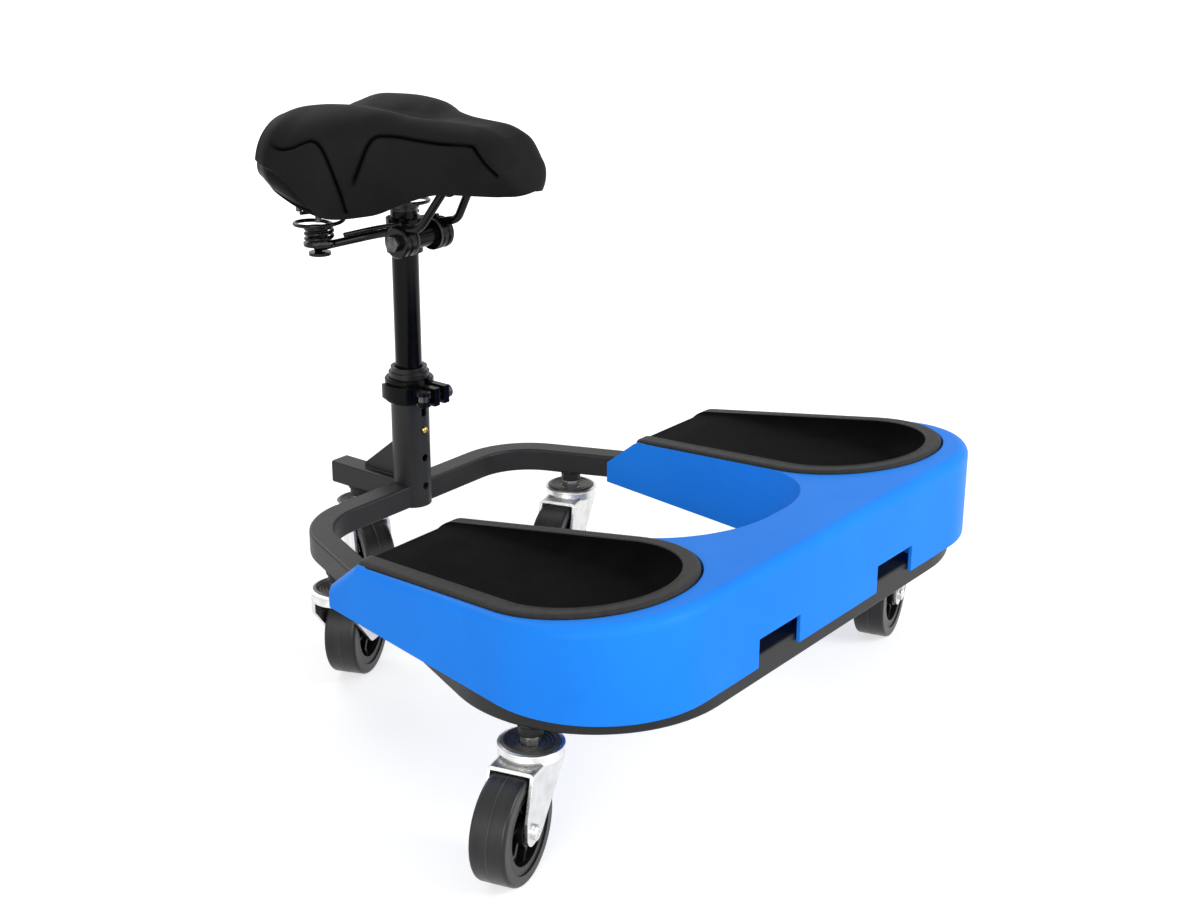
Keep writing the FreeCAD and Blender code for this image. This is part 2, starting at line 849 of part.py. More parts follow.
def build_seat_clamp():
    """Split collar with two ears, its bolt with an eye, and the lever that wraps round the collar."""
    collar_low = seat_top - s.collar_height
    collar_radius = s.seat_tube_radius + s.collar_wall
    middle = collar_low + s.collar_height / 2
    gap = s.slot_width / 2
    ear = gap + s.ear_thickness
    band = turned(
        "collar_band",
        [
            (s.seat_tube_radius, collar_low),
            (collar_radius - s.collar_chamfer, collar_low),
            (collar_radius, collar_low + s.collar_chamfer),
            (collar_radius, seat_top - s.collar_chamfer),
            (collar_radius - s.collar_chamfer, seat_top),
            (s.seat_tube_radius, seat_top),
        ],
    )
    ears = box(
        "collar_ears",
        (-ear, -s.ear_reach, middle - s.ear_height / 2),
        (ear, -s.seat_tube_radius, middle + s.ear_height / 2),
    )
    split = box("collar_split", (-gap, -s.ear_reach, collar_low), (gap, sized(0.0), seat_top))
    core = cylinder("collar_core", s.seat_tube_radius, s.collar_height, (0.0, 0.0, collar_low))
    bolt_y = -s.clamp_bolt_setback
    hole = cylinder("collar_hole", s.clamp_bolt_radius, 2 * ear, (-ear, bolt_y, middle), "x")
    node(cut("clamp_collar", fuse("collar_blank", band, ears), split, core, hole), "clamp_collar")
    pin_x = -ear - s.lever_offset
    shank_length = ear - pin_x + s.clamp_nut_height
    shank = cylinder("bolt_shank", s.clamp_bolt_radius, shank_length, (pin_x, bolt_y, middle), "x")
    nut = cylinder("bolt_nut", s.clamp_nut_radius, s.clamp_nut_height, (ear, bolt_y, middle), "x")
    eye_half = s.lever_slot / 2 - s.part_gap
    eye = cylinder("bolt_eye", s.lever_eye_radius, 2 * eye_half, (pin_x, bolt_y, middle - eye_half))
    half = s.lever_height / 2
    pin_room = s.lever_pin_radius + s.running_fit
    bore = cylinder("bolt_eye_bore", pin_room, s.lever_height, (pin_x, bolt_y, middle - half))
    node(cut("clamp_bolt", fuse("bolt_blank", shank, nut, eye), bore), "clamp_bolt")
    lever_low, lever_high = middle - half, middle + half
    inner = collar_radius + s.part_gap
    outer = inner + s.lever_thickness
    band = ring("lever_band", inner, outer, lever_low, lever_high)
    start = sized(180.0 + math.degrees(math.atan2(-float(bolt_y), -float(pin_x))))
    reach = 2 * outer
    sector = prism(
        "lever_sector",
        [
            (sized(0.0), sized(0.0)),
            (reach * cosine(s.lever_end_angle), reach * sine(s.lever_end_angle)),
            (-reach, sized(0.0)),
            (reach * cosine(start), reach * sine(start)),
        ],
        lever_low,
        lever_high,
    )
    arc_end = (outer * cosine(start), outer * sine(start))
    arc_in = (inner * cosine(start), inner * sine(start))
    link = prism(
        "lever_link",
        [
            arc_in,
            (pin_x + s.lever_pin_radius * 2, bolt_y + s.lever_hub_radius / 2),
            (pin_x - s.lever_hub_radius, bolt_y),
            (arc_end[0] - s.lever_thickness, arc_end[1] + s.lever_thickness),
        ],
        lever_low,
        lever_high,
    )
    hub = cylinder("lever_hub", s.lever_hub_radius, s.lever_height, (pin_x, bolt_y, lever_low))
    slot_half = s.lever_slot / 2
    room = s.lever_hub_radius + s.part_gap
    eye_room = cylinder("lever_eye_room", room, s.lever_slot, (pin_x, bolt_y, middle - slot_half))
    pin_hole = cylinder("lever_pin_hole", s.lever_pin_radius, s.lever_height, (pin_x, bolt_y, lever_low))
    arm = common("lever_arm", band, sector)
    node(cut("clamp_lever", fuse("lever_blank", arm, link, hub), eye_room, pin_hole), "clamp_lever")
    pin = cylinder("lever_pin", s.lever_pin_radius, s.lever_height, (pin_x, bolt_y, lever_low))
    node(pin, "lever_pin")


# places along the seat post
button_level = s.tube_underside + s.top_hole_height
post_low = seat_top - s.post_insert
post_high = s.clamp_height + s.post_above_clamp
post_bore = s.post_radius - s.post_wall
clamp_y = -s.clamp_setback


def build_post():
    """Post with its top plug, the saddle clamp's sleeve and the sprung locking button."""
    pipe = ring("post_pipe", post_bore, s.post_radius, post_low, post_high)
    outside = -s.post_radius - s.part_gap
    room = s.button_radius + s.running_fit
    hole = cylinder("post_hole", room, s.post_radius, (0.0, outside, button_level), "y")
    node(cut("seat_post", pipe, hole), "seat_post")
    cap_low = post_high - 2 * s.cap_height
    cap = turned(
        "post_cap",
        [
            (0.0, cap_low),
            (post_bore, cap_low),
            (post_bore, post_high),
            (s.post_radius, post_high),
            (s.post_radius, post_high + s.cap_height),
            (0.0, post_high + s.cap_height),
        ],
    )
    node(cap, "post_cap")
    sleeve_low = s.clamp_height - s.sleeve_height / 2
    sleeve = cylinder("head_sleeve", s.post_radius + s.sleeve_wall, s.sleeve_height, (0.0, 0.0, sleeve_low))
    width = 2 * s.barrel_half
    end = (-s.barrel_half, clamp_y, s.clamp_height)
    inner_end = (s.barrel_half - s.head_disc_thickness, clamp_y, s.clamp_height)
    barrel = cylinder("head_barrel", s.barrel_radius, width, end, "x")
    discs = [
        cylinder(f"head_disc_{number}", s.head_disc_radius, s.head_disc_thickness, spot, "x")
        for number, spot in enumerate((end, inner_end))
    ]
    bore = cylinder("head_bore", s.post_radius, s.sleeve_height, (0.0, 0.0, sleeve_low))
    bolt_bore = cylinder("head_bolt_bore", s.saddle_bolt_radius + s.running_fit, width, end, "x")
    node(cut("post_head", fuse("head_blank", sleeve, barrel, *discs), bore, bolt_bore), "post_head")
    tip = seat_bore - s.part_gap
    head_y = post_bore - s.button_head_radius * s.button_head_radius / (2 * post_bore) - s.part_gap * 2
    stud = cylinder("button_stud", s.button_radius, tip - head_y, (0.0, -tip, button_level), "y")
    head_at = (0.0, -head_y, button_level)
    head = cylinder("button_head", s.button_head_radius, s.button_head_height, head_at, "y")
    node(fuse("snap_button", stud, head), "snap_button")
    leaf_y = -head_y + s.button_head_height + s.running_fit
    leaf_top = button_level + s.button_head_radius
    leaf_low = leaf_top - s.leaf_length
    back = post_bore - s.leaf_thickness * 3
    leaf = side_prism(
        "button_spring",
        [
            (leaf_y, leaf_top),
            (leaf_y, button_level - s.button_head_radius),
            (back - s.leaf_thickness, leaf_low),
            (back, leaf_low),
            (back, leaf_top),
            (back - s.leaf_thickness, leaf_top),
            (back - s.leaf_thickness, leaf_low + s.leaf_thickness * 2),
            (leaf_y + s.leaf_thickness, button_level - s.button_head_radius),
            (leaf_y + s.leaf_thickness, leaf_top),
        ],
        s.leaf_width,
    )
    node(leaf, "button_spring")


def rounded_path(points, radii):
    """Wire through the points with a tangent arc of the given radius at each inner point."""
    edges, start = [], points[0]
    for before, corner, after, radius in zip(points, points[1:], points[2:], radii):
        back = (before - corner).normalize()
        ahead = (after - corner).normalize()
        half_turn = (math.pi - back.getAngle(ahead)) / 2
        run = radius * math.tan(half_turn)
        first, last = corner + back * run, corner + ahead * run
        inward = (back + ahead).normalize()
        middle = corner + inward * (radius / math.cos(half_turn) - radius)
        edges += [Part.LineSegment(start, first).toShape(), Part.Arc(first, middle, last).toShape()]
        start = last
    edges.append(Part.LineSegment(start, points[-1]).toShape())
    return Part.Wire(edges)


def rod(path, radius):
    """Round rod along a smooth wire."""
    start = path.Edges[0]
    point = start.valueAt(start.FirstParameter)
    along = start.tangentAt(start.FirstParameter)
    profile = Part.Wire(Part.makeCircle(radius, point, along))
    return path.makePipeShell([profile], True, False)


def rail_line(y):
    """Height of the rails' straight run at a place along Y."""
    slope = math.tan(math.radians(s.rail_slope.value))
    return s.clamp_height.value + s.rail_rise.value - (y + s.clamp_setback.value) * slope


def nose_level():
    """Height of the cross rod in the nose."""
    return s.clamp_height.value + s.nose_rise.value


def rail_points(side):
    """Corners of one rail, from its rear end to the cross rod in the nose."""
    rear_y = s.rail_rear.value - s.clamp_setback.value
    front_y = -s.rail_front.value - s.clamp_setback.value
    end_y = s.rail_end_setback.value
    return [
        Vector(side * s.rail_end_half.value, end_y, rail_line(end_y) - s.rail_end_drop.value),
        Vector(side * s.rail_half.value, rear_y, rail_line(rear_y)),
        Vector(side * s.rail_half.value, front_y, rail_line(front_y)),
        Vector(side * s.nose_half.value, -s.nose_setback.value, nose_level()),
    ]


def rail_shape():
    points = rail_points(1) + rail_points(-1)[::-1]
    bends = [s.rail_rear_bend.value, s.rail_front_bend.value, s.nose_bend.value]
    return rod(rounded_path(points, bends + bends[::-1]), s.rail_radius.value)


def stay_shape(side):
    """Thin stay above a rail, from the spring to the saddle clamp."""
    end, corner = rail_points(side)[:2]
    lift = Vector(0, 0, s.stay_rise.value)
    share = (s.stay_end.value - corner.y) / (end.y - corner.y)
    start = corner + (end - corner) * share + lift
    front = Vector(corner.x, -s.clamp_setback.value, rail_line(-s.clamp_setback.value)) + lift
    path = rounded_path([start, corner + lift, front], [s.rail_rear_bend.value])
    return rod(path, s.stay_radius.value)


def spring_height():
    """Centre height of the first coil: on the seat disc above the rail's end."""
    return seat_level() + s.seat_disc_height.value + s.spring_wire_radius.value + s.part_gap.value


def seat_level():
    """Underside of the spring's seat disc, at the height of the rail's axis there."""
    end, corner = rail_points(1)[:2]
    share = (s.spring_setback.value - corner.y) / (end.y - corner.y)
    return (corner + (end - corner) * share).z + s.rail_radius.value / 2


def spring_path(side):
    """Points and directions of the spring wire, a quarter turn apart."""
    coil, loop = s.spring_coil_radius.value, s.spring_loop_radius.value
    climb = COIL_TURNS * s.spring_pitch.value

    def place_at(turn):
        widen = min(max((turn - COIL_TURNS) / WIDEN_TURNS, 0.0), 1.0)
        last = max(turn - COIL_TURNS - WIDEN_TURNS, 0.0) / LOOP_TURNS
        ease = widen * widen * (3 - 2 * widen)
        radius = coil + (loop - coil) * ease
        height = min(turn, COIL_TURNS) / COIL_TURNS * climb + widen * WIDEN_RISE + last * LOOP_RISE
        angle = 2 * math.pi * turn
        x = s.spring_half.value - radius * math.cos(angle)
        y = s.spring_setback.value + radius * math.sin(angle)
        return Vector(side * x, y, spring_height() + height)

    steps = int((COIL_TURNS + WIDEN_TURNS + LOOP_TURNS) * STEPS_PER_TURN)
    turns = [n / STEPS_PER_TURN for n in range(steps + 1)]
    points = [place_at(turn) for turn in turns]
    ways = [(place_at(turn + TURN_STEP) - place_at(turn - TURN_STEP)).normalize() for turn in turns]
    return points, ways


def biarc(start, way_out, end, way_in):
    """Two tangent arcs from one point and direction to the next."""
    chord = end - start
    ways = way_out + way_in
    spread = 1 - way_out.dot(way_in)
    lean = chord.dot(ways)
    run = (math.sqrt(lean * lean + 2 * spread * chord.dot(chord)) - lean) / (2 * spread)
    first, second = start + way_out * run, end - way_in * run
    joint = (first + second) * 0.5
    arcs = []
    for low, corner, high in ((start, first, joint), (joint, second, end)):
        centre = (low + high) * 0.5
        half = (high - low).Length / 2
        arcs.append(Part.Arc(low, corner + (centre - corner) * (1 / (1 + half / run)), high).toShape())
    return arcs


def spring_shape(side):
    """One unbroken wire, straight for one wire diameter at each end."""
    points, ways = spring_path(side)
    tail = 2 * s.spring_wire_radius.value
    edges = [Part.LineSegment(points[0] - ways[0] * tail, points[0]).toShape()]
    for index in range(len(points) - 1):
        edges += biarc(points[index], ways[index], points[index + 1], ways[index + 1])
    edges.append(Part.LineSegment(points[-1], points[-1] + ways[-1] * tail).toShape())
    wire = Part.Wire(edges)
    report_gap(wire)
    return rod(wire, s.spring_wire_radius.value)


def report_gap(wire):
    """Print the least gap between turns, measured on points more than half a coil apart."""
    points = wire.discretize(Distance=s.spring_wire_radius.value / 2)
    apart = int(math.pi * s.spring_coil_radius.value / (s.spring_wire_radius.value / 2))
    gaps = [
        a.distanceToPoint(b) for index, a in enumerate(points) for b in points[index + apart:]
    ]
    print("spring self gap mm:", round(min(gaps) - 2 * s.spring_wire_radius.value, 2))


def clamp_disc(name, start, length):
    """Disc of the saddle clamp on its bolt, with both rims chamfered."""
    rim = s.cheek_radius - s.cheek_chamfer
    disc = turned(
        name,
        [
            (s.saddle_bolt_radius, 0.0),
            (rim, 0.0),
            (s.cheek_radius, s.cheek_chamfer),
            (s.cheek_radius, length - s.cheek_chamfer),
            (rim, length),
            (s.saddle_bolt_radius, length),
        ],
    )
    return place(disc, (start, clamp_y, s.clamp_height), TURNS["x"])


def clamp_nut(name, start):
    """Hexagon nut on the saddle bolt."""
    turns = [sized(turn) for turn in range(0, 360, 60)]
    corners = [
        (clamp_y + s.saddle_nut_radius * cosine(turn), s.clamp_height + s.saddle_nut_radius * sine(turn))
        for turn in turns
    ]
    body = new_body(f"{name}_blank")
    extrude(body, "Pad", polygon(sketch_on(body, "YZ_Plane", start), corners), s.saddle_nut_height)
    bolt_at = (start, clamp_y, s.clamp_height)
    hole = cylinder(f"{name}_hole", s.saddle_bolt_radius, s.saddle_nut_height, bolt_at, "x")
    return cut(name, body, hole)


def build_rails():
    """Rails, stays, clamp cheeks with their bolt and nuts, spring seats and springs."""
    rails = shape_node("saddle_rails", rail_shape())
    stays = [doc.addObject("Part::Feature", f"stay_{n}") for n in range(2)]
    for side, stay in zip((1, -1), stays):
        stay.Shape = stay_shape(side)
    group("rail_stays", stays)
    cheek_in = s.barrel_half + s.part_gap
    split = s.cheek_split / 2
    outer_end = s.rail_half + s.cheek_outer
    spans = {"inner": (cheek_in, s.rail_half - split), "outer": (s.rail_half + split, outer_end)}
    cheeks, nuts = [], []
    for number, (side, stay) in enumerate(zip((1, -1), stays)):
        for kind, (low, high) in spans.items():
            name = f"cheek_{kind}_{number}"
            blank = clamp_disc(f"{name}_blank", low if side > 0 else -high, high - low)
            cheeks.append(cut(name, blank, rails, stay))
        nuts.append(clamp_nut(f"nut_{number}", outer_end if side > 0 else -outer_end - s.saddle_nut_height))
    group("clamp_cheeks", cheeks)
    group("clamp_nuts", nuts)
    bolt_half = outer_end + s.saddle_nut_height
    bolt_at = (-bolt_half, clamp_y, s.clamp_height)
    node(cylinder("saddle_bolt", s.saddle_bolt_radius, 2 * bolt_half, bolt_at, "x"), "saddle_bolt")
    seats = []
    for number, side in enumerate((1, -1)):
        spot = (side * s.spring_half, s.spring_setback, sized(seat_level()))
        disc = cylinder(f"seat_disc_{number}", s.seat_disc_radius, s.seat_disc_height, spot)
        under = (spot[0], spot[1], spot[2] - s.rail_radius * 2 - s.seat_disc_height / 2)
        washer = cylinder(f"seat_washer_{number}", s.spring_washer_radius, s.seat_disc_height, under)
        seats += [cut(f"seat_top_{number}", disc, rails), cut(f"seat_clip_{number}", washer, rails)]
    group("spring_seats", seats)
    shape_node("spring_left", spring_shape(1))
    shape_node("spring_right", spring_shape(-1))


class Section:
    """One cross-section of the saddle, from its row of the table."""

    def __init__(self, row):
        self.y, self.half, self.shoulder, crown, self.dip, self.edge_half, edge, rise = row
        base = s.clamp_height.value
        self.crown, self.edge, self.arch = base + crown, base + edge, base + edge + rise
        self.arch_radius = (self.edge_half ** 2 + rise ** 2) / (2 * rise)

    def at(self, x, z):
        return Vector(x, self.y, z)

    def arc(self, first, middle, last):
        return Part.Arc(self.at(*first), self.at(*middle), self.at(*last)).toShape()

    def arch_point(self, x, drop):
        """Point of the underside's arc, moved down by the drop."""
        centre = self.arch - self.arch_radius
        radius = self.arch_radius - drop
        return (x, centre + math.sqrt(radius * radius - x * x))

    def half_outline(self):
        """Key points of one side: lower edge, flank, widest point, shoulder, inflection."""
        crest = self.half - self.shoulder
        level = self.crown - self.shoulder
        inward, down = self.half - self.edge_half, level - self.edge
        flank = (inward ** 2 + down ** 2) / (2 * inward)
        flank_half = math.asin(down / flank) / 2
        flank_x = self.half - flank + flank * math.cos(flank_half)
        flank_mid = (flank_x, level - flank * math.sin(flank_half))
        low = self.dip - self.shoulder
        dip_radius = (crest ** 2 + low ** 2 - self.shoulder ** 2) / (2 * self.dip)
        turn = math.pi / 2 + math.asin(crest / (self.shoulder + dip_radius))
        spots = [
            (crest + self.shoulder * math.cos(angle), level + self.shoulder * math.sin(angle))
            for angle in (turn / 2, turn)
        ]
        return [(self.edge_half, self.edge), flank_mid, (self.half, level)] + spots

    def cover_wire(self):
        edge, flank, widest, shoulder, inflection = self.half_outline()
        flip = [(-x, z) for x, z in (edge, flank, widest, shoulder, inflection)]
        return Part.Wire([
            self.arc(edge, flank, widest),
            self.arc(widest, shoulder, inflection),
            self.arc(inflection, (0.0, self.crown - self.dip), flip[4]),
            self.arc(flip[4], flip[3], flip[2]),
            self.arc(flip[2], flip[1], flip[0]),
            self.arc(flip[0], (0.0, self.arch), edge),
        ])

    def pan_wire(self):
        reach = self.edge_half * PAN_SHARE
        upper, lower = s.pan_gap.value, s.pan_gap.value + s.pan_thickness.value
        top = [self.arch_point(x, upper) for x in (-reach, 0.0, reach)]
        bottom = [self.arch_point(x, lower) for x in (reach, 0.0, -reach)]
        return Part.Wire([
            self.arc(*top),
            Part.LineSegment(self.at(*top[2]), self.at(*bottom[0])).toShape(),
            self.arc(*bottom),
            Part.LineSegment(self.at(*bottom[2]), self.at(*top[0])).toShape(),
        ])


def pan_drop(shape, x, y):
    """Height of the pan's underside above a place, found on the pan itself."""
    low = s.clamp_height.value
    line = Part.makeLine(Vector(x, y, low), Vector(x, y, low + 2 * s.nose_rise.value))
    return min(vertex.Z for vertex in line.common(shape).Vertexes)


def build_saddle():
    """Padded cover over a pan, the nose bracket on the cross rod and the spring bolts."""
    sections = [Section(row) for row in SADDLE]
    cover = Part.makeLoft([section.cover_wire() for section in sections], True, False)
    shape_node("saddle_cover", cover)
    pan = Part.makeLoft([section.pan_wire() for section in sections[PAN_SECTIONS]], True, False)
    shape_node("saddle_pan", pan)
    half, radius = s.bracket_half.value, s.bracket_radius.value
    across = Vector(1, 0, 0)
    end = Vector(-half, -s.nose_setback.value, nose_level())
    barrel = Part.makeCylinder(radius, 2 * half, end, across)
    block = Part.makeBox(2 * half, 2 * radius, 2 * radius, end - Vector(0, radius, 0))
    bore = Part.makeCylinder(s.rail_radius.value + s.running_fit.value, 2 * half, end, across)
    bracket = barrel.fuse(block).cut(pan).cut(bore)
    lowest = min(bracket.Solids, key=lambda solid: solid.BoundBox.ZMin)
    shape_node("nose_bracket", lowest.removeSplitter())
    bolts = []
    for side in (1, -1):
        for name, spot, low in hanger_spots(side):
            top = pan_drop(pan, spot.x, spot.y)
            item = doc.addObject("Part::Feature", f"hanger_{name}_{len(bolts)}")
            foot = Vector(spot.x, spot.y, low)
            item.Shape = Part.makeCylinder(s.spring_bolt_radius.value, top - low, foot).cut(pan)
            bolts.append(item)
    group("spring_bolts", bolts)


def hanger_spots(side):
    """Guide bolt in the middle of a spring and the hanger over the end of its loop."""
    points, ways = spring_path(side)
    end = points[-1] + ways[-1] * s.spring_wire_radius.value
    centre = Vector(side * s.spring_half.value, s.spring_setback.value, 0)
    guide_low = spring_height() + s.spring_bolt_drop.value
    return [
        ("guide", centre, guide_low),
        ("loop", end, end.z + s.spring_wire_radius.value + s.part_gap.value),
    ]


# places of the tray and its pads, which follow the frame
shell_low = tube_top - s.shell_overlap
shell_front = s.frame_depth + half_tube + s.shell_overhang
cut_front = shell_front - s.bridge_depth
pad_front = shell_front - s.pad_front_margin
tray_rise = (shell_front - s.shell_rear) * tangent(s.shell_top_angle)
ceiling = s.shell_top + tray_rise + 4 * s.pad_proud
clear_width = 4 * s.shell_rear_half


def tray_outline(inset):
    """Plan of the tray, moved inwards by the inset."""
    spread = inset / cosine(s.shell_side_angle)
    front = shell_front - inset
    rear = s.shell_rear + inset
    slope = tangent(s.shell_side_angle)
    rear_half = s.shell_rear_half + inset * slope - spread
    front_half = s.shell_rear_half + (front - s.shell_rear) * slope - spread
    return [(-rear_half, -rear), (rear_half, -rear), (front_half, -front), (-front_half, -front)]


def tray_roof(inset):
    """Side view of what is cleared above the tray: the rear chamfer and the sloping top."""
    slope = tangent(s.shell_top_angle)
    rear = -s.shell_rear - inset
    edge = rear - s.shell_chamfer
    top = s.shell_top - inset
    rear_high = shell_low + s.shell_rear_height - inset
    clear = 2 * s.shell_chamfer

    def high(y):
        return top + (-s.shell_rear - y) * slope

    steep = (high(edge) - rear_high) / s.shell_chamfer
    far = -shell_front - clear
    behind = rear + clear
    return [
        (behind, rear_high - clear * steep),
        (edge, high(edge)),
        (far, high(far)),
        (far, ceiling + clear),
        (behind, ceiling + clear),
    ]


def tray_block(name, inset):
    """Tray plan under its roof, with the edges of the top and of the chamfer rounded."""
    body = prism(name, tray_outline(inset), shell_low, ceiling, [((2, 3), s.shell_corner - inset)])
    roof = polygon(sketch_on(body, "YZ_Plane"), tray_roof(inset))
    extrude(body, "Pocket", roof, clear_width, symmetric=True)
    rear_high = float(shell_low + s.shell_rear_height - inset)
    rear = -float(s.shell_rear + inset)

    def upper(edge):
        bounds = edge.BoundBox
        return bounds.ZMin > rear_high - SAME and bounds.YMin < rear - SAME

    round_edges(body, upper, s.shell_edge_round - inset)
    return body


def cut_outline(inset):
    """Plan of the gap between the two knee troughs, widened by the inset."""
    slope = tangent(s.cut_side_angle)
    spread = inset / cosine(s.cut_side_angle)
    front = cut_front + inset
    rear = s.shell_rear - s.shell_wall
    rear_half = s.cut_rear_half + (s.shell_rear - rear) * slope + spread
    front_half = s.cut_rear_half - (front - s.shell_rear) * slope + spread
    return [(-rear_half, -rear), (rear_half, -rear), (front_half, -front), (-front_half, -front)]


def pad_outline(side, inset):
    """Plan of a knee pad, moved inwards by the inset: rear inner, rear outer, front outer, front inner."""
    front = pad_front - inset
    rear = s.pad_rear + inset
    inner_slope = tangent(s.pad_inner_taper)
    outer_slope = tangent(s.pad_outer_taper)
    inner = s.pad_rear_inner + inset / cosine(s.pad_inner_taper)
    outer = s.pad_rear_outer - inset / cosine(s.pad_outer_taper)
    return [
        (side * (inner - inset * inner_slope), -rear),
        (side * (outer + inset * outer_slope), -rear),
        (side * (outer + (front - s.pad_rear) * outer_slope), -front),
        (side * (inner - (front - s.pad_rear) * inner_slope), -front),
    ]


def pad_prism(name, side, inset, low, high):
    """Prism on a pad's plan, whose front is rounded almost to a half circle."""
    outline = pad_outline(side, inset)
    front_width = side * (outline[2][0] - outline[3][0])
    front_run = sharp_run(s.pad_inner_taper) + sharp_run(s.pad_outer_taper)
    front_round = PAD_ROUND * front_width / front_run
    return prism(name, outline, low, high, [((2, 3), front_round), ((0, 1), s.pad_rear_corner)])


def build_tray():
    """Hollow tray with two pad recesses, standing on bosses on the frame tube."""
    level = shell_low
    outer = tray_block("tray_outer", sized(0.0))
    opening = prism("tray_opening", cut_outline(sized(0.0)), level, ceiling, [((2, 3), s.cut_corner)])
    hollow = tray_block("tray_hollow_block", s.shell_wall)
    wall_rounds = [((2, 3), s.cut_corner + s.shell_wall)]
    walls = [prism("tray_opening_wall", cut_outline(s.shell_wall), level, ceiling, wall_rounds)]
    wall_low = s.pad_floor - s.shell_wall
    room = -s.pad_recess_gap
    around = room - s.shell_wall
    recesses = []
    for number, side in enumerate((sized(1.0), sized(-1.0))):
        walls.append(pad_prism(f"tray_recess_wall_{number}", side, around, wall_low, ceiling))
        recesses.append(pad_prism(f"tray_recess_{number}", side, room, s.pad_floor, ceiling))
    hollow = cut("tray_hollow", hollow, *walls)
    notches = []
    for number, side in enumerate((1, -1)):
        low = s.notch_inner if side > 0 else -s.notch_outer
        high = s.notch_outer if side > 0 else -s.notch_inner
        notches.append(
            box(
                f"tray_notch_{number}",
                (low, -shell_front, shell_low),
                (high, -shell_front + s.tube_size, tube_top + s.notch_height),
            )
        )
    beside = half_tube + s.part_gap
    relief = cut(
        "tray_relief",
        frame_prism("tray_relief_outer", beside, shell_low, tube_top),
        frame_prism("tray_relief_inner", -beside, shell_low, tube_top),
    )
    skin = cut("tray_skin", outer, opening, hollow, relief, *recesses, *notches)
    posts, bores = [], []
    for number, (x, y) in enumerate(TRAY_BOSSES):
        roof = s.shell_top + (s.frame_depth - s.shell_rear) * tangent(s.shell_top_angle)
        top = (s.pad_floor if number % 2 else roof) - s.shell_wall / 2
        posts.append(cylinder(f"tray_boss_{number}", s.tray_boss_radius, top - tube_top, (x, y, tube_top)))
        bores.append(cylinder(f"tray_bore_{number}", s.screw_radius, s.screw_grip, (x, y, tube_top)))
    node(cut("tray_shell", fuse("tray_body", skin, *posts), *bores), "tray_shell")
    screws = []
    for number, (x, y) in enumerate(TRAY_BOSSES):
        low = s.tube_underside - s.screw_head_height
        screw = turned(
            f"tray_screw_{number}",
            [
                (0.0, low),
                (s.screw_head_radius, low),
                (s.screw_head_radius, s.tube_underside),
                (s.screw_radius, s.tube_underside),
                (s.screw_radius, tube_top + s.screw_grip),
                (0.0, tube_top + s.screw_grip),
            ],
        )
        screws.append(place(screw, (x, y, 0.0)))
    group("tray_screws", screws)


def build_pads():
    """Foam knee pads: a raised rim around a trough with a level floor, open towards the rear."""
    slope = tangent(s.shell_top_angle)
    low = s.pad_floor + s.part_gap

    def rim(y):
        return s.shell_top + s.pad_proud + (-s.shell_rear - y) * slope

    for name, side in (("left", sized(1.0)), ("right", sized(-1.0))):
        blank = pad_prism(f"pad_blank_{name}", side, sized(0.0), low, ceiling)
        far, near = -shell_front, -s.shell_rear
        outline = [(near, low), (near, rim(near)), (far, rim(far)), (far, low)]
        profile = side_prism(f"pad_side_{name}", outline, clear_width)
        bowl = pad_prism(f"pad_bowl_{name}", side, s.bowl_margin, s.bowl_floor, ceiling)

        def floor_edge(edge):
            return edge.BoundBox.ZMax < float(s.bowl_floor) + SAME

        round_edges(bowl, floor_edge, s.bowl_round)
        body = common(f"pad_body_{name}", blank, profile)
        node(cut(f"knee_pad_{name}", body, bowl), f"knee_pad_{name}")


build_frame()
build_seat_tube()
build_tail()
build_caster_mounts()
build_casters()
build_post_bush()
build_seat_clamp()
build_post()
build_rails()
build_saddle()
build_tray()
build_pads()
doc.recompute()

faults = [item.Name for item in doc.Objects if "Invalid" in item.State or "Error" in item.State]
for item in nodes:
    if item.Shape.isNull() or not item.Shape.isValid() or not item.Shape.Solids:
        faults.append(f"{item.Label} shape")
if faults:
    raise RuntimeError(f"faulty objects: {faults}")

os.makedirs("parts", exist_ok=True)
for item in nodes:
    item.Shape.exportStep(f"parts/{item.Label}.step")
print(len(nodes), "sub-parts written")
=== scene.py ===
import math

import bmesh
import bpy
import numpy as np
from mathutils import Matrix, Vector


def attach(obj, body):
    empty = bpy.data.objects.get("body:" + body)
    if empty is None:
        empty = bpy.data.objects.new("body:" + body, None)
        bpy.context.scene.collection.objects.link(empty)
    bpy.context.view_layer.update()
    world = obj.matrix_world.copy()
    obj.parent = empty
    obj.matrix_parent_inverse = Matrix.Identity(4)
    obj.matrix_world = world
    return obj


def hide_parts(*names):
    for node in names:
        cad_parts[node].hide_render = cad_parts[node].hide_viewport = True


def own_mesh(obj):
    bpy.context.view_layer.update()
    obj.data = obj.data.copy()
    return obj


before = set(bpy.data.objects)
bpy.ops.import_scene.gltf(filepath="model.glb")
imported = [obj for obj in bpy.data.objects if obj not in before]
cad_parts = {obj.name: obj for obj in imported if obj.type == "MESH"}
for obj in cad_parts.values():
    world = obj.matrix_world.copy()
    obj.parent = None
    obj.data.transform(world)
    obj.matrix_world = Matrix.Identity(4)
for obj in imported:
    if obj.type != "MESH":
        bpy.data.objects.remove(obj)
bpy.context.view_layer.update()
MM = 0.001
# place of each swivel axis in millimetres, and direction from it to the wheel's centre in degrees from +X
CASTERS = {
    "front_left": (239.615, -332.752, 194.0),
    "front_right": (-239.615, -332.752, 195.0),
    "rear_left": (144.377, -57.0, 197.0),
    "rear_right": (-144.377, -57.0, 23.0),
    "tail": (0.0, 64.0, 240.0),
}
TRAIL, WHEEL_RADIUS = 31.7, 38.0


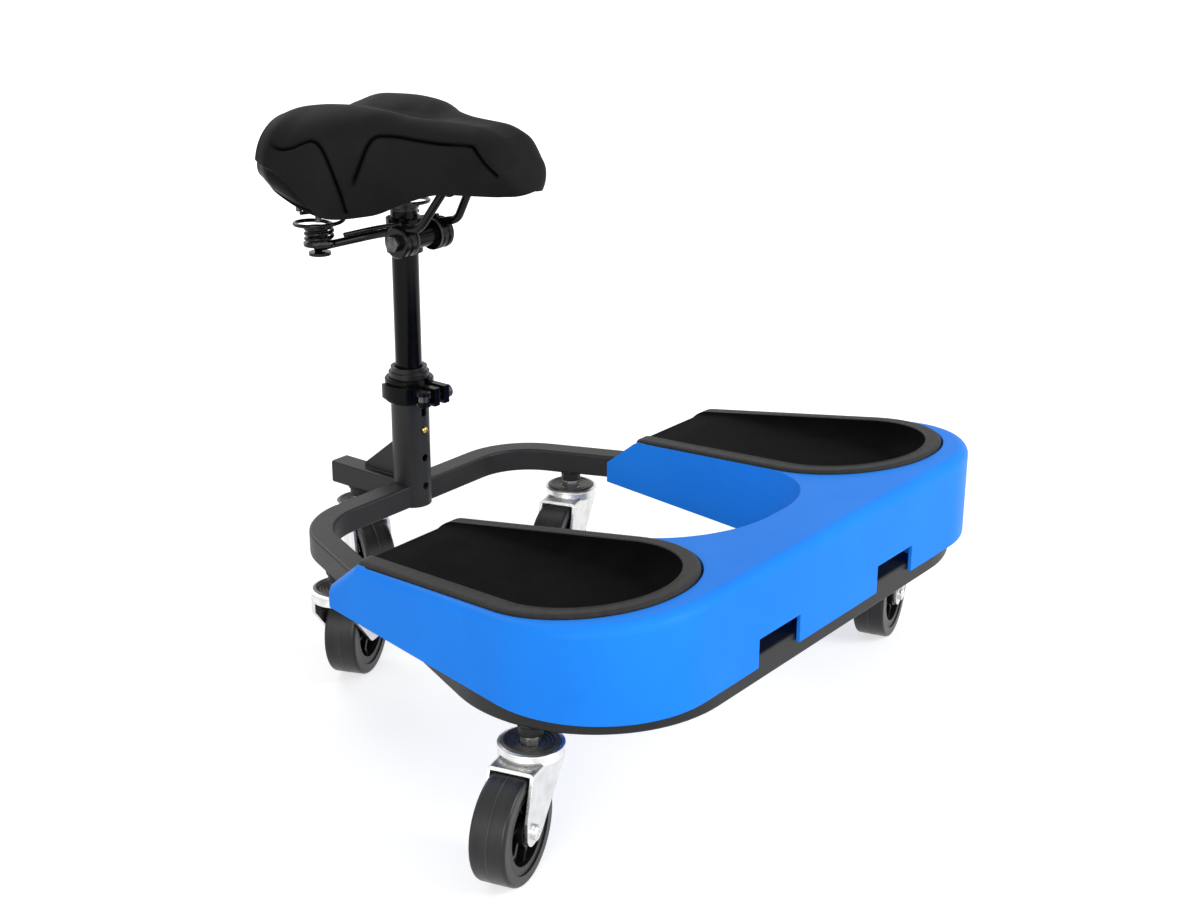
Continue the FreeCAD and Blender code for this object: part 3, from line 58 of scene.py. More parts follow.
def wheel_hub(at):
    """Centre of a wheel in millimetres, and its heading in radians."""
    x, y, heading = CASTERS[at]
    turn = math.radians(heading)
    return (x + TRAIL * math.cos(turn), y + TRAIL * math.sin(turn), WHEEL_RADIUS), turn


# Materials

EDGE_RADIUS, EDGE_SAMPLES = 0.0006, 6
FINE_DETAIL, PORE_DETAIL = 3.0, 2.0
# leather: scale of its mottle, pores against cells, painted shade of a pressed line and where its sheen is gone
MOTTLE_SCALE, PORE_SCALE, PORE_BUMP, PORE_DEPTH = 25.0, 2.5, 0.6, 0.5
PAINTED_GROOVE_SHADE, SHEEN_END = (0.001, 0.001, 0.001), 0.8
# tread: its scuffed bands and specks, and the mould's line with its half width and the end of its fade
TREAD_DARK, TREAD_LIGHT, TREAD_ROUGH = (0.008, 0.008, 0.0082), (0.017, 0.017, 0.0172), (0.28, 0.46)
SCUFF_SCALE, SCUFF_STRETCH, SPECK_SCALE = 60.0, (0.35, 4.0, 0.35), 1300.0
MOULD_SHADE, MOULD_HALF, MOULD_END = (0.035, 0.035, 0.035), 0.0001, 0.0005
# strength and depth of their relief
MOULD_BUMP, SPECK_BUMP, TREAD_SPECULAR = (0.6, 0.0003), (0.12, 0.0002), 0.35


def new_material(name):
    """Material with its node tree, its shader and the object's own coordinates."""
    material = bpy.data.materials.new(name)
    material.use_nodes = True
    tree = material.node_tree
    coords = tree.nodes.new("ShaderNodeTexCoord").outputs["Object"]
    return material, tree, tree.nodes["Principled BSDF"], coords


def noise(tree, coords, scale, detail=4.0, stretch=None):
    """Noise over the object's coordinates, drawn out along an axis where a stretch is given."""
    if stretch:
        mapping = tree.nodes.new("ShaderNodeMapping")
        mapping.inputs["Scale"].default_value = stretch
        tree.links.new(coords, mapping.inputs["Vector"])
        coords = mapping.outputs["Vector"]
    node = tree.nodes.new("ShaderNodeTexNoise")
    node.inputs["Scale"].default_value = scale
    node.inputs["Detail"].default_value = detail
    tree.links.new(coords, node.inputs["Vector"])
    return node.outputs["Fac"]


def spread(tree, value, low, high, start=0.3, end=0.7):
    """Map a noise value to a range."""
    node = tree.nodes.new("ShaderNodeMapRange")
    node.inputs["From Min"].default_value = start
    node.inputs["From Max"].default_value = end
    node.inputs["To Min"].default_value = low
    node.inputs["To Max"].default_value = high
    tree.links.new(value, node.inputs["Value"])
    return node.outputs["Result"]


def mix_colours(tree, factor, dark, light):
    """Colour between two, picked by a factor."""
    node = tree.nodes.new("ShaderNodeMix")
    node.data_type = "RGBA"
    for socket, colour in (("A", dark), ("B", light)):
        sockets = [s for s in node.inputs if s.name == socket and s.type == "RGBA"]
        if isinstance(colour, tuple):
            sockets[0].default_value = (*colour, 1.0)
        else:
            tree.links.new(colour, sockets[0])
    tree.links.new(factor, node.inputs["Factor"])
    return next(s for s in node.outputs if s.type == "RGBA")


def add_bump(tree, shader, height, strength, distance, below=None):
    """Bump on the shader's normal, on top of another bump where one is given."""
    node = tree.nodes.new("ShaderNodeBump")
    node.inputs["Strength"].default_value = strength
    node.inputs["Distance"].default_value = distance
    tree.links.new(height, node.inputs["Height"])
    if below:
        tree.links.new(below, node.inputs["Normal"])
    tree.links.new(node.outputs["Normal"], shader.inputs["Normal"])
    return node.outputs["Normal"]


def soft_edges(tree, radius):
    """Normal that rounds the sharp edges of a part."""
    node = tree.nodes.new("ShaderNodeBevel")
    node.samples = EDGE_SAMPLES
    node.inputs["Radius"].default_value = radius
    return node.outputs["Normal"]


def set_sockets(shader, sockets):
    """Plain values on the shader's own sockets."""
    for socket, value in sockets.items():
        shader.inputs[socket.replace("_", " ")].default_value = value


def finish(name, dark, light, rough, mottle, grain, bump, depth, edge=EDGE_RADIUS, **sockets):
    """Procedural finish: mottled colour, uneven roughness and a fine grain in relief."""
    material, tree, shader, coords = new_material(name)
    patches = noise(tree, coords, mottle)
    specks = noise(tree, coords, grain, FINE_DETAIL)
    colour = mix_colours(tree, spread(tree, patches, 0.0, 1.0), dark, light)
    tree.links.new(colour, shader.inputs["Base Color"])
    tree.links.new(spread(tree, specks, *rough), shader.inputs["Roughness"])
    add_bump(tree, shader, specks, bump, depth, soft_edges(tree, edge))
    set_sockets(shader, sockets)
    return material


def leather(name, dark, light, rough, cell, bump, depth, sheen):
    """Embossed skin: cells of a fine leather grain over a soft mottle, painted shade in the dull pressed lines."""
    material, tree, shader, coords = new_material(name)
    patches = noise(tree, coords, MOTTLE_SCALE)
    cells = tree.nodes.new("ShaderNodeTexVoronoi")
    cells.feature = "SMOOTH_F1"
    cells.inputs["Scale"].default_value = cell
    tree.links.new(coords, cells.inputs["Vector"])
    pores = noise(tree, coords, cell * PORE_SCALE, PORE_DETAIL)
    attribute = tree.nodes.new("ShaderNodeAttribute")
    attribute.attribute_name = "pressed"
    pressed = attribute.outputs["Fac"]
    colour = mix_colours(tree, spread(tree, patches, 0.0, 1.0), dark, light)
    # painted shade: the pressed lines are darkened in the base colour
    colour = mix_colours(tree, pressed, colour, PAINTED_GROOVE_SHADE)
    tree.links.new(colour, shader.inputs["Base Color"])
    gloss = spread(tree, pressed, sheen, 0.0, 0.0, SHEEN_END)
    tree.links.new(gloss, shader.inputs["Specular IOR Level"])
    tree.links.new(spread(tree, pores, *rough), shader.inputs["Roughness"])
    lower = add_bump(tree, shader, cells.outputs["Distance"], bump, depth)
    add_bump(tree, shader, pores, bump * PORE_BUMP, depth * PORE_DEPTH, lower)
    return material


def tread_rubber(at):
    """Rubber of one wheel: scuffed bands round the tread and the fine line where the mould parts."""
    hub, turn = wheel_hub(at)
    material, tree, shader, coords = new_material(f"tread_{at}")
    local = tree.nodes.new("ShaderNodeMapping")
    local.vector_type = "TEXTURE"
    local.inputs["Location"].default_value = [c * MM for c in hub]
    local.inputs["Rotation"].default_value = (0.0, 0.0, turn)
    tree.links.new(coords, local.inputs["Vector"])
    axes = tree.nodes.new("ShaderNodeSeparateXYZ")
    tree.links.new(local.outputs["Vector"], axes.inputs["Vector"])
    off = tree.nodes.new("ShaderNodeMath")
    off.operation = "ABSOLUTE"
    tree.links.new(axes.outputs["Y"], off.inputs[0])
    line = spread(tree, off.outputs["Value"], 1.0, 0.0, MOULD_HALF, MOULD_END)
    bands = noise(tree, local.outputs["Vector"], SCUFF_SCALE, FINE_DETAIL, SCUFF_STRETCH)
    specks = noise(tree, coords, SPECK_SCALE, FINE_DETAIL)
    colour = mix_colours(tree, spread(tree, bands, 0.0, 1.0), TREAD_DARK, TREAD_LIGHT)
    colour = mix_colours(tree, line, colour, MOULD_SHADE)
    tree.links.new(colour, shader.inputs["Base Color"])
    tree.links.new(spread(tree, bands, *TREAD_ROUGH), shader.inputs["Roughness"])
    lower = add_bump(tree, shader, line, *MOULD_BUMP, soft_edges(tree, EDGE_RADIUS))
    add_bump(tree, shader, specks, *SPECK_BUMP, lower)
    set_sockets(shader, {"Specular_IOR_Level": TREAD_SPECULAR})
    return material


# dark and light colour, roughness, scale of the mottle and of the grain, strength and depth of the grain
POWDER = finish(
    "powder_coat", (0.006, 0.0061, 0.0064), (0.0095, 0.0096, 0.01), (0.4, 0.52), 60.0, 1400.0, 0.25, 0.0003,
    Specular_IOR_Level=0.32,
)
GLOSS = finish(
    "gloss_paint", (0.0015, 0.0015, 0.0016), (0.003, 0.003, 0.0031), (0.14, 0.22), 50.0, 900.0, 0.06, 0.0002,
    Specular_IOR_Level=0.1,
)
WIRE = finish(
    "black_wire", (0.002, 0.002, 0.0021), (0.0035, 0.0035, 0.0036), (0.14, 0.24), 80.0, 1200.0, 0.1, 0.0002,
    Specular_IOR_Level=0.2,
)
ZINC = finish(
    "bright_zinc", (0.66, 0.66, 0.655), (0.84, 0.84, 0.83), (0.26, 0.38), 90.0, 700.0, 0.08, 0.0002, Metallic=1.0
)
RACE = finish(
    "race_steel", (0.03, 0.029, 0.026), (0.07, 0.068, 0.06), (0.3, 0.42), 160.0, 900.0, 0.1, 0.0002,
    Specular_IOR_Level=0.5,
)
STEM = finish(
    "stem_steel", (0.05, 0.05, 0.052), (0.12, 0.12, 0.122), (0.25, 0.42), 150.0, 900.0, 0.12, 0.0002, Metallic=1.0
)
STEEL = finish(
    "plain_steel", (0.35, 0.35, 0.36), (0.52, 0.52, 0.53), (0.25, 0.4), 120.0, 900.0, 0.1, 0.0002, Metallic=1.0
)
PLASTIC = finish(
    "black_plastic", (0.004, 0.004, 0.0042), (0.007, 0.007, 0.0072), (0.3, 0.42), 70.0, 1800.0, 0.12, 0.0002,
    Specular_IOR_Level=0.3,
)
BRASS = finish(
    "brass", (0.55, 0.37, 0.12), (0.8, 0.58, 0.22), (0.14, 0.26), 200.0, 900.0, 0.06, 0.0002, Metallic=1.0
)
BLUE = finish(
    "tray_plastic", (0.015, 0.23, 0.9), (0.018, 0.255, 0.95), (0.36, 0.46), 14.0, 1100.0, 0.1, 0.0002, 0.0012,
    Specular_IOR_Level=0.05,
)
# the pad's foam twice: darker with painted shade for the bowl, lighter with painted sheen for the rim
FOAM_PAINTED_SHADE = finish(
    "pad_foam", (0.002, 0.002, 0.0021), (0.0038, 0.0038, 0.0039), (0.6, 0.78), 45.0, 1500.0, 0.5, 0.0006,
    Specular_IOR_Level=0.03,
)
FOAM_PAINTED_SHEEN = finish(
    "pad_foam_painted_sheen", (0.012, 0.0118, 0.0115), (0.023, 0.0225, 0.022), (0.5, 0.7), 260.0, 1700.0, 0.6, 0.0006,
    Specular_IOR_Level=0.25,
)
# dark and light colour, roughness, scale of the cells, strength and depth of the grain, sheen
SKIN = leather(
    "saddle_skin", (0.012, 0.012, 0.0121), (0.016, 0.016, 0.0161), (0.5, 0.62), 750.0, 0.2, 0.0004, 0.03
)
BAND = leather(
    "saddle_band", (0.002, 0.002, 0.0021), (0.003, 0.003, 0.0031), (0.3, 0.4), 900.0, 0.1, 0.0003, 0.04
)
TREADS = {at: tread_rubber(at) for at in CASTERS}

FINISHES = {
    POWDER: ["base_frame", "seat_tube", "tail_tube", "tail_gusset", "caster_bosses"],
    GLOSS: ["clamp_collar", "clamp_lever", "seat_post", "post_head"],
    WIRE: ["saddle_rails", "rail_stays", "clamp_cheeks", "spring_seats", "nose_bracket"],
    STEM: ["caster_stems", "clamp_bolt", "lever_pin", "clamp_nuts", "saddle_bolt", "spring_bolts", "tray_screws"],
    ZINC: ["upper_races"] + [f"{kind}_{at}" for kind in ("fork", "axle") for at in CASTERS],
    STEEL: ["button_spring"] + [f"hub_bush_{at}" for at in CASTERS],
    PLASTIC: ["tail_plug", "post_bush", "post_cap", "saddle_pan"] + [f"wheel_core_{at}" for at in CASTERS],
    **{tread: [f"tyre_{at}"] for at, tread in TREADS.items()},
    BRASS: ["snap_button"],
    BLUE: ["tray_shell"],
    FOAM_PAINTED_SHADE: ["knee_pad_left", "knee_pad_right"],
    SKIN: ["saddle_cover"],
}
for material, names in FINISHES.items():
    for name in names:
        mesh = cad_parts[name].data
        mesh.materials.clear()
        mesh.materials.append(material)


# Meshes

CREASE, WELD, TINY = math.radians(35.0), 1e-6, 1e-9


def new_piece(name, points, faces, material, body, slot, replaced=(), weld=False):
    """Mesh in millimetres, smooth up to its creases, riding on a body."""
    mesh = bpy.data.meshes.new(name)
    mesh.from_pydata([tuple(c * MM for c in point) for point in points], [], faces)
    shape = bmesh.new()
    shape.from_mesh(mesh)
    if weld:
        bmesh.ops.remove_doubles(shape, verts=shape.verts, dist=WELD)
    bmesh.ops.recalc_face_normals(shape, faces=shape.faces)
    shape.to_mesh(mesh)
    shape.free()
    mesh.materials.append(material)
    mesh.shade_smooth()
    mesh.set_sharp_from_angle(angle=CREASE)
    piece = bpy.data.objects.new(name, mesh)
    bpy.context.scene.collection.objects.link(piece)
    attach(piece, body)
    if replaced:
        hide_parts(*replaced)
    return piece


def grid_faces(rows, columns, closed=False):
    """Quads between the rows of a grid whose points are stored row by row."""
    last = columns if closed else columns - 1
    faces = []
    for r in range(rows - 1):
        for c in range(last):
            d = (c + 1) % columns
            faces.append((r * columns + c, r * columns + d, (r + 1) * columns + d, (r + 1) * columns + c))
    return faces


def capped_faces(rows, columns):
    """Faces of a grid that is closed along its columns and has a flat cap at each end."""
    caps = [tuple(range(columns))[::-1], tuple((rows - 1) * columns + n for n in range(columns))]
    return grid_faces(rows, columns, True) + caps


def ring_faces(rows, columns):
    """Faces of a grid that is closed both ways."""
    last = (rows - 1) * columns
    joint = [(last + n, last + (n + 1) % columns, (n + 1) % columns, n) for n in range(columns)]
    return grid_faces(rows, columns, True) + joint


def ease(value):
    """Smooth step from 0 to 1."""
    value = min(max(value, 0.0), 1.0)
    return value * value * (3 - 2 * value)


def run_lengths(points):
    """Length along a path up to each of its points."""
    return np.concatenate(([0.0], np.cumsum(np.linalg.norm(np.diff(points, axis=0), axis=1))))


def join(parts):
    """Points and faces of several meshes as one."""
    points, faces = [], []
    for more, sides in parts:
        faces += [tuple(n + len(points) for n in side) for side in sides]
        points += list(more)
    return points, faces


def lathe(profile, sides, spot):
    """Ring of a closed profile of radius and height, put in place point by point."""
    turns = np.linspace(0, 2 * math.pi, sides, endpoint=False)
    points = [spot(r * math.cos(a), r * math.sin(a), h) for a in turns for r, h in profile]
    return points, ring_faces(sides, len(profile))


def tube(path, radius, sides=12):
    """Points and faces of a round wire along a path, with flat ends; the radius may change along it."""
    path = np.array(path, float)
    radii = np.broadcast_to(radius, len(path))
    ways = np.gradient(path, axis=0)
    ways /= np.linalg.norm(ways, axis=1)[:, None]
    side = np.cross(ways[0], (0.0, 0.0, 1.0))
    points = []
    for spot, way, radius in zip(path, ways, radii):
        side = side - way * side.dot(way)
        side /= np.linalg.norm(side)
        up = np.cross(way, side)
        for n in range(sides):
            angle = 2 * math.pi * n / sides
            points.append(spot + radius * (math.cos(angle) * side + math.sin(angle) * up))
    return points, capped_faces(len(path), sides)


# Saddle springs

# place of a spring's axis and height of the wire at its lower end
SPRING_HALF, SPRING_BACK, SPRING_LOW = 50.0, 47.0, 329.62
WIRE_RADIUS, COIL_RADIUS, LOOP_RADIUS = 1.6, 10.8, 20.5
COIL_TURNS, WIDEN_TURNS, LOOP_TURNS = 3.0, 0.5, 0.75
COIL_PITCH, WIDEN_RISE, LOOP_RISE = 4.2, 2.4, 4.0
SPRING_POINTS = 200


def spring_point(side, turn):
    """Place on the wire of a spring: close coils that widen to one large loop on top."""
    widen = min(max((turn - COIL_TURNS) / WIDEN_TURNS, 0.0), 1.0)
    last = max(turn - COIL_TURNS - WIDEN_TURNS, 0.0) / LOOP_TURNS
    radius = COIL_RADIUS + (LOOP_RADIUS - COIL_RADIUS) * ease(widen)
    height = min(turn, COIL_TURNS) * COIL_PITCH + widen * WIDEN_RISE + last * LOOP_RISE
    angle = 2 * math.pi * turn
    x = side * (SPRING_HALF - radius * math.cos(angle))
    return (x, SPRING_BACK + radius * math.sin(angle), SPRING_LOW + height)


for name, side in (("left", 1), ("right", -1)):
    turns = np.linspace(0.0, COIL_TURNS + WIDEN_TURNS + LOOP_TURNS, SPRING_POINTS)
    points, faces = tube([spring_point(side, turn) for turn in turns], WIRE_RADIUS)
    coil = new_piece(f"saddle_spring_{name}", points, faces, WIRE, "rails", "black_steel", [f"spring_{name}"])
    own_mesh(coil)


# Saddle

CLAMP_HEIGHT = 332.4
# place along Y, half width, shoulder radius, crown, dip, half width and height of the lower edge, arch;
# heights are above the clamp
SADDLE = np.array([
    (-131.0, 22.5, 15.0, 79.2, 0.3, 17.0, 50.6, 7.0),
    (-116.0, 27.5, 17.5, 93.8, 0.3, 21.0, 49.0, 12.0),
    (-95.0, 31.0, 20.0, 99.1, 0.3, 24.0, 47.5, 17.0),
    (-63.0, 36.0, 22.0, 99.7, 0.8, 27.0, 44.5, 22.0),
    (-35.0, 47.5, 25.0, 100.7, 5.2, 33.5, 35.5, 30.0),
    (-8.0, 65.0, 33.5, 105.0, 9.4, 46.0, 23.6, 42.0),
    (18.0, 80.0, 46.0, 106.2, 10.2, 63.5, 20.1, 49.0),
    (45.0, 87.0, 51.0, 104.8, 8.8, 75.5, 28.6, 41.0),
    (64.0, 87.5, 46.0, 102.4, 8.0, 76.5, 36.0, 33.0),
    (84.0, 81.0, 38.0, 95.5, 5.0, 71.5, 45.0, 20.0),
])
SADDLE_ROWS, FLANK_POINTS, SHOULDER_POINTS, DIP_POINTS, UNDER_POINTS = 300, 60, 80, 40, 40
# how far the rows crowd towards the ends
CROWDING = 0.35
# rounded ends: length, height of the tip and angle at the start, and how small the tip is
CAP_ROWS, NOSE_CAP, REAR_CAP, TIP_SHARE = 16, (-7.5, 53.0, 15.0), (22.0, 66.0, 30.0), 0.02
# pressed lines on the near side, repeated on the far side
REAR_LINE = [
    (-81.5, 66.3, 410.4), (-82.2, 59.4, 408.4), (-82.4, 52.1, 407.3), (-81.4, 41.4, 409.4), (-78.5, 33.0, 413.3),
    (-75.0, 24.2, 416.2), (-74.5, 19.2, 414.9), (-74.9, 14.3, 411.4), (-74.9, 8.5, 403.1), (-72.8, 4.7, 391.7),
    (-67.4, 2.8, 375.5), (-58.5, 5.5, 357.1),
]
FRONT_LINE = [
    (-62.4, -5.2, 379.0), (-62.6, -7.9, 385.6), (-61.8, -11.7, 394.4), (-59.8, -15.9, 405.8), (-56.7, -18.6, 414.8),
    (-53.1, -20.9, 419.8), (-49.0, -25.1, 422.0), (-45.0, -31.6, 422.0), (-37.4, -50.7, 420.0), (-32.6, -72.1, 418.8),
    (-28.4, -100.4, 419.5), (-28.9, -105.4, 415.5), (-28.0, -113.4, 406.8), (-25.4, -122.2, 399.1),
]
LINE_WIDTH, LINE_DEPTH, LINE_FADE, LINE_STEP = 1.6, 2.0, 10.0, 0.5
# margin round a line within which points are tried, and how many are tried at once
LINE_MARGIN, LINE_BATCH = 10, 2000
# height of the seam of the lower rear band along Y
SEAM_Y = (26.0, 28.0, 32.2, 41.4, 57.7, 80.0, 110.0)
SEAM_Z = (340.0, 356.0, 368.1, 381.1, 390.1, 394.0, 395.0)
SEAM_STEP, SEAM_SOFT = 1.6, 0.8


def smooth_columns(table, places):
    """Columns of a table at other places of its first column, on monotone cubic curves."""
    at = table[:, 0]
    runs = np.diff(at)
    index = np.clip(np.searchsorted(at, places) - 1, 0, len(runs) - 1)
    run = runs[index]
    t = (places - at[index]) / run
    columns = [places]
    for values in table.T[1:]:
        rises = np.diff(values) / runs
        before, after = rises[:-1], rises[1:]
        same = before * after > 0
        total = np.where(same, before + after, 1.0)
        inner = np.where(same, 2 * before * after / total, 0.0)
        slopes = np.concatenate(([rises[0]], inner, [rises[-1]]))
        low, high = values[index], values[index + 1]
        columns.append(
            low * (1 + 2 * t) * (1 - t) ** 2
            + high * t * t * (3 - 2 * t)
            + run * slopes[index] * t * (1 - t) ** 2
            - run * slopes[index + 1] * t * t * (1 - t)
        )
    return np.array(columns).T


def saddle_section(row):
    """Closed outline (x, z) of one section, from the lower edge over the top and back under the arch."""
    _, half, shoulder, crown, dip, edge_half, edge, arch = row
    level, crest = crown - shoulder, half - shoulder
    inward, down = half - edge_half, level - edge
    flank = (inward ** 2 + down ** 2) / (2 * inward)
    low = dip - shoulder
    hollow = (crest ** 2 + low ** 2 - shoulder ** 2) / (2 * dip)
    turn = math.pi / 2 + math.asin(crest / (shoulder + hollow))
    swing = math.asin((crest + shoulder * math.cos(turn)) / hollow)
    a = np.linspace(-math.asin(down / flank), 0, FLANK_POINTS, endpoint=False)
    b = np.linspace(0, turn, SHOULDER_POINTS, endpoint=False)
    c = np.linspace(swing, 0, DIP_POINTS)
    x = np.concatenate((half - flank + flank * np.cos(a), crest + shoulder * np.cos(b), hollow * np.sin(c)))
    z = np.concatenate((
        level + flank * np.sin(a), level + shoulder * np.sin(b), crown - dip + hollow - hollow * np.cos(c)
    ))
    bow = (edge_half ** 2 + arch ** 2) / (2 * arch)
    under = np.linspace(-edge_half, edge_half, UNDER_POINTS + 2)[1:-1]
    x = np.concatenate((x, -x[-2::-1], under))
    z = np.concatenate((z, z[-2::-1], edge + arch - bow + np.sqrt(bow ** 2 - under ** 2)))
    return x, z + CLAMP_HEIGHT


def smooth_line(points):
    """Lengths and points along a smooth curve through the given points."""
    points = np.array(points)
    lengths = run_lengths(points)
    places = np.linspace(0.0, lengths[-1], int(lengths[-1] / LINE_STEP))
    return smooth_columns(np.column_stack((lengths, points)), places)


def press_line(points, line):
    """Depth of a narrow channel along a line in a surface, fading out at its first end."""
    line = smooth_line(line)
    depth = np.zeros(len(points))
    reach = np.ptp(line[:, 1:], axis=0) / 2 + LINE_MARGIN
    near = np.where((np.abs(points - line[:, 1:].mean(0)) < reach).all(1))[0]
    for part in np.array_split(near, max(1, len(near) // LINE_BATCH)):
        gaps = np.linalg.norm(points[part][:, None] - line[None, :, 1:], axis=2)
        best = gaps.argmin(1)
        share = np.clip(line[best, 0] / LINE_FADE, 0, 1)
        depth[part] = LINE_DEPTH * share * np.exp(-((gaps.min(1) / LINE_WIDTH) ** 2))
    return depth


def grid_normals(points, rows, columns):
    """Outward normals of a grid that is closed along its columns."""
    grid = points.reshape(rows, columns, 3)
    along = np.gradient(grid, axis=0)
    around = np.roll(grid, -1, axis=1) - np.roll(grid, 1, axis=1)
    normals = np.cross(along, around)
    normals /= np.maximum(np.linalg.norm(normals, axis=2), TINY)[:, :, None]
    return normals.reshape(-1, 3)


def saddle_cap(row, length, tip, start):
    """Rows that round off an end of the saddle, from its last section to a small tip."""
    start = math.radians(start)
    middle = np.array((0.0, row[0, 1], CLAMP_HEIGHT + tip))
    rows = []
    for turn in np.linspace(start, math.pi / 2, CAP_ROWS + 1)[1:]:
        share = max(math.cos(turn) / math.cos(start), TIP_SHARE)
        out = length * (math.sin(turn) - math.sin(start)) / (1 - math.sin(start))
        rows.append(middle + (row - middle) * share + np.array((0.0, out, 0.0)))
    return rows


def build_saddle():
    """Padded cover with its pressed lines and the band round the lower rear."""
    first, last = SADDLE[0, 0], SADDLE[-1, 0]
    crowded = first + (last - first) * (1 - np.cos(np.linspace(0, math.pi, SADDLE_ROWS))) / 2
    places = CROWDING * crowded + (1 - CROWDING) * np.linspace(first, last, SADDLE_ROWS)
    rows = []
    for row in smooth_columns(SADDLE, places):
        x, z = saddle_section(row)
        rows.append(np.column_stack((x, np.full(len(x), row[0]), z)))
    rows = saddle_cap(rows[0], *NOSE_CAP)[::-1] + rows + saddle_cap(rows[-1], *REAR_CAP)
    columns = len(rows[0])
    points = np.concatenate(rows)
    normals = grid_normals(points, len(rows), columns)
    pressed = np.zeros(len(points))
    for line in (REAR_LINE, FRONT_LINE):
        for side in (1, -1):
            pressed = np.maximum(pressed, press_line(points, [(side * x, y, z) for x, y, z in line]))
    points = points - normals * pressed[:, None]
    outside = np.tile(np.arange(columns) < columns - UNDER_POINTS, len(rows))
    below = np.interp(points[:, 1], SEAM_Y, SEAM_Z) - points[:, 2]
    banded = outside & (points[:, 1] > SEAM_Y[0])
    inset = np.where(banded, SEAM_STEP * np.clip(0.5 + below / SEAM_SOFT, 0, 1), 0.0)
    points = points - normals * inset[:, None]
    faces = [face[::-1] for face in capped_faces(len(rows), columns)]
    cover = new_piece("saddle_cushion", points, faces, SKIN, "saddle", "saddle_skin", ["saddle_cover"])
    # the depth of the pressed lines also drives the painted shade in the skin's colour
    shade = cover.data.attributes.new("pressed", "FLOAT", "POINT")
    shade.data.foreach_set("value", pressed / LINE_DEPTH)
    cover.data.materials.append(BAND)
    band = banded & (below > 0)
    for face in cover.data.polygons:
        face.material_index = int(all(band[v] for v in face.vertices))


build_saddle()


# Knee pads

# plan of a pad: its front, rear, inner and outer rear corners, and how its sides spread
PAD_FRONT, PAD_REAR, PAD_INNER, PAD_OUTER = 398.7, 159.0, 111.0, 218.5
INNER_SLOPE, OUTER_SLOPE = math.tan(math.radians(8.1)), math.tan(math.radians(10.2))
# the tray's top, its ridge and the slope behind the ridge
TOP_SLOPE, TOP_START, TOP_HEIGHT = math.tan(math.radians(6.4)), 122.0, 152.3
RIDGE, RIDGE_FALL = 155.0, 0.79
RIM_PROUD, RIM_EDGE, RIM_WIDTH = 2.8, 2.6, 12.6
LIP_WIDTH, LIP_HEIGHT, LIP_DEPTH = 2.4, 0.6, 8
# width of a bowl's rounded side, as a share of its depth and within limits
SIDE_SHARE, SIDE_LEAST, SIDE_MOST = 0.8, 5.0, 22.0
PAD_LOW, BOWL_FLOOR, REAR_FLOOR, FLOOR_EASE = 142.5, 159.0, 156.6, 34.0
# the rear end, which rolls over the ridge
PAD_END, ROLL_LENGTH, ROLL_DROP, SKIN_LEFT, END_CORNER = 150.5, 9.0, 5.4, 0.7, 7.0
SIDE_POINTS, ARC_POINTS, MIDDLE_POINTS = 70, 130, 7
# mark of a point underneath, where a point on top has its gap to the outline
UNDERNEATH = -1.0
# places of the points along a side's rear end, and inwards from the outline
END_STEPS = [0.0, 0.25, 0.8, 1.6, 2.6, 3.8, 5.2, 6.8, 8.4]
GAPS = [
    0.0, 0.3, 0.9, 1.7, 2.6, 4.5, 6.5, 8.5, 10.2, 10.8, 11.4, 12.0, 12.6, 12.9, 13.3, 13.9, 14.8, 16.0, 17.5,
    19.5, 22.0, 25.0, 28.5, 32.5, 36.5, 41.0,
]


def tray_top(y):
    """Height of the tray's top, its ridge and the slope behind it."""
    if y > RIDGE:
        return TOP_HEIGHT + (y - TOP_START) * TOP_SLOPE
    return TOP_HEIGHT + (RIDGE - TOP_START) * TOP_SLOPE - (RIDGE - y) * RIDGE_FALL


def pad_height(gap, y):
    """Height of a pad: rounded edge, flat rim with a fine lip, and a bowl that runs out at the rear."""
    rim = TOP_HEIGHT + RIM_PROUD + (y - TOP_START) * TOP_SLOPE
    floor = REAR_FLOOR + (BOWL_FLOOR - REAR_FLOOR) * ease((y - PAD_END) / FLOOR_EASE)
    depth = max(rim - floor, 0.0)
    height = rim
    if gap < RIM_EDGE:
        height += math.sqrt(RIM_EDGE ** 2 - (RIM_EDGE - gap) ** 2) - RIM_EDGE
    lip = 1 - abs(gap - RIM_WIDTH + LIP_WIDTH / 2) / (LIP_WIDTH / 2)
    height += LIP_HEIGHT * ease(lip) * ease(depth / LIP_DEPTH)
    if gap > RIM_WIDTH:
        side = min(max(SIDE_SHARE * depth, SIDE_LEAST), SIDE_MOST)
        share = min((gap - RIM_WIDTH) / side, 1.0)
        height -= depth * math.sqrt(1 - (1 - share) ** 2)
    back = max(ROLL_LENGTH - (y - PAD_END), 0.0) / ROLL_LENGTH
    height -= ROLL_DROP * (1 - math.sqrt(1 - back ** 2))
    return max(height, tray_top(y) + SKIN_LEFT) if y < PAD_REAR else height


def pad_under(y):
    """Height of a pad's underside, which follows the tray behind the pad's recess."""
    return PAD_LOW if y > PAD_REAR else tray_top(y) - SKIN_LEFT


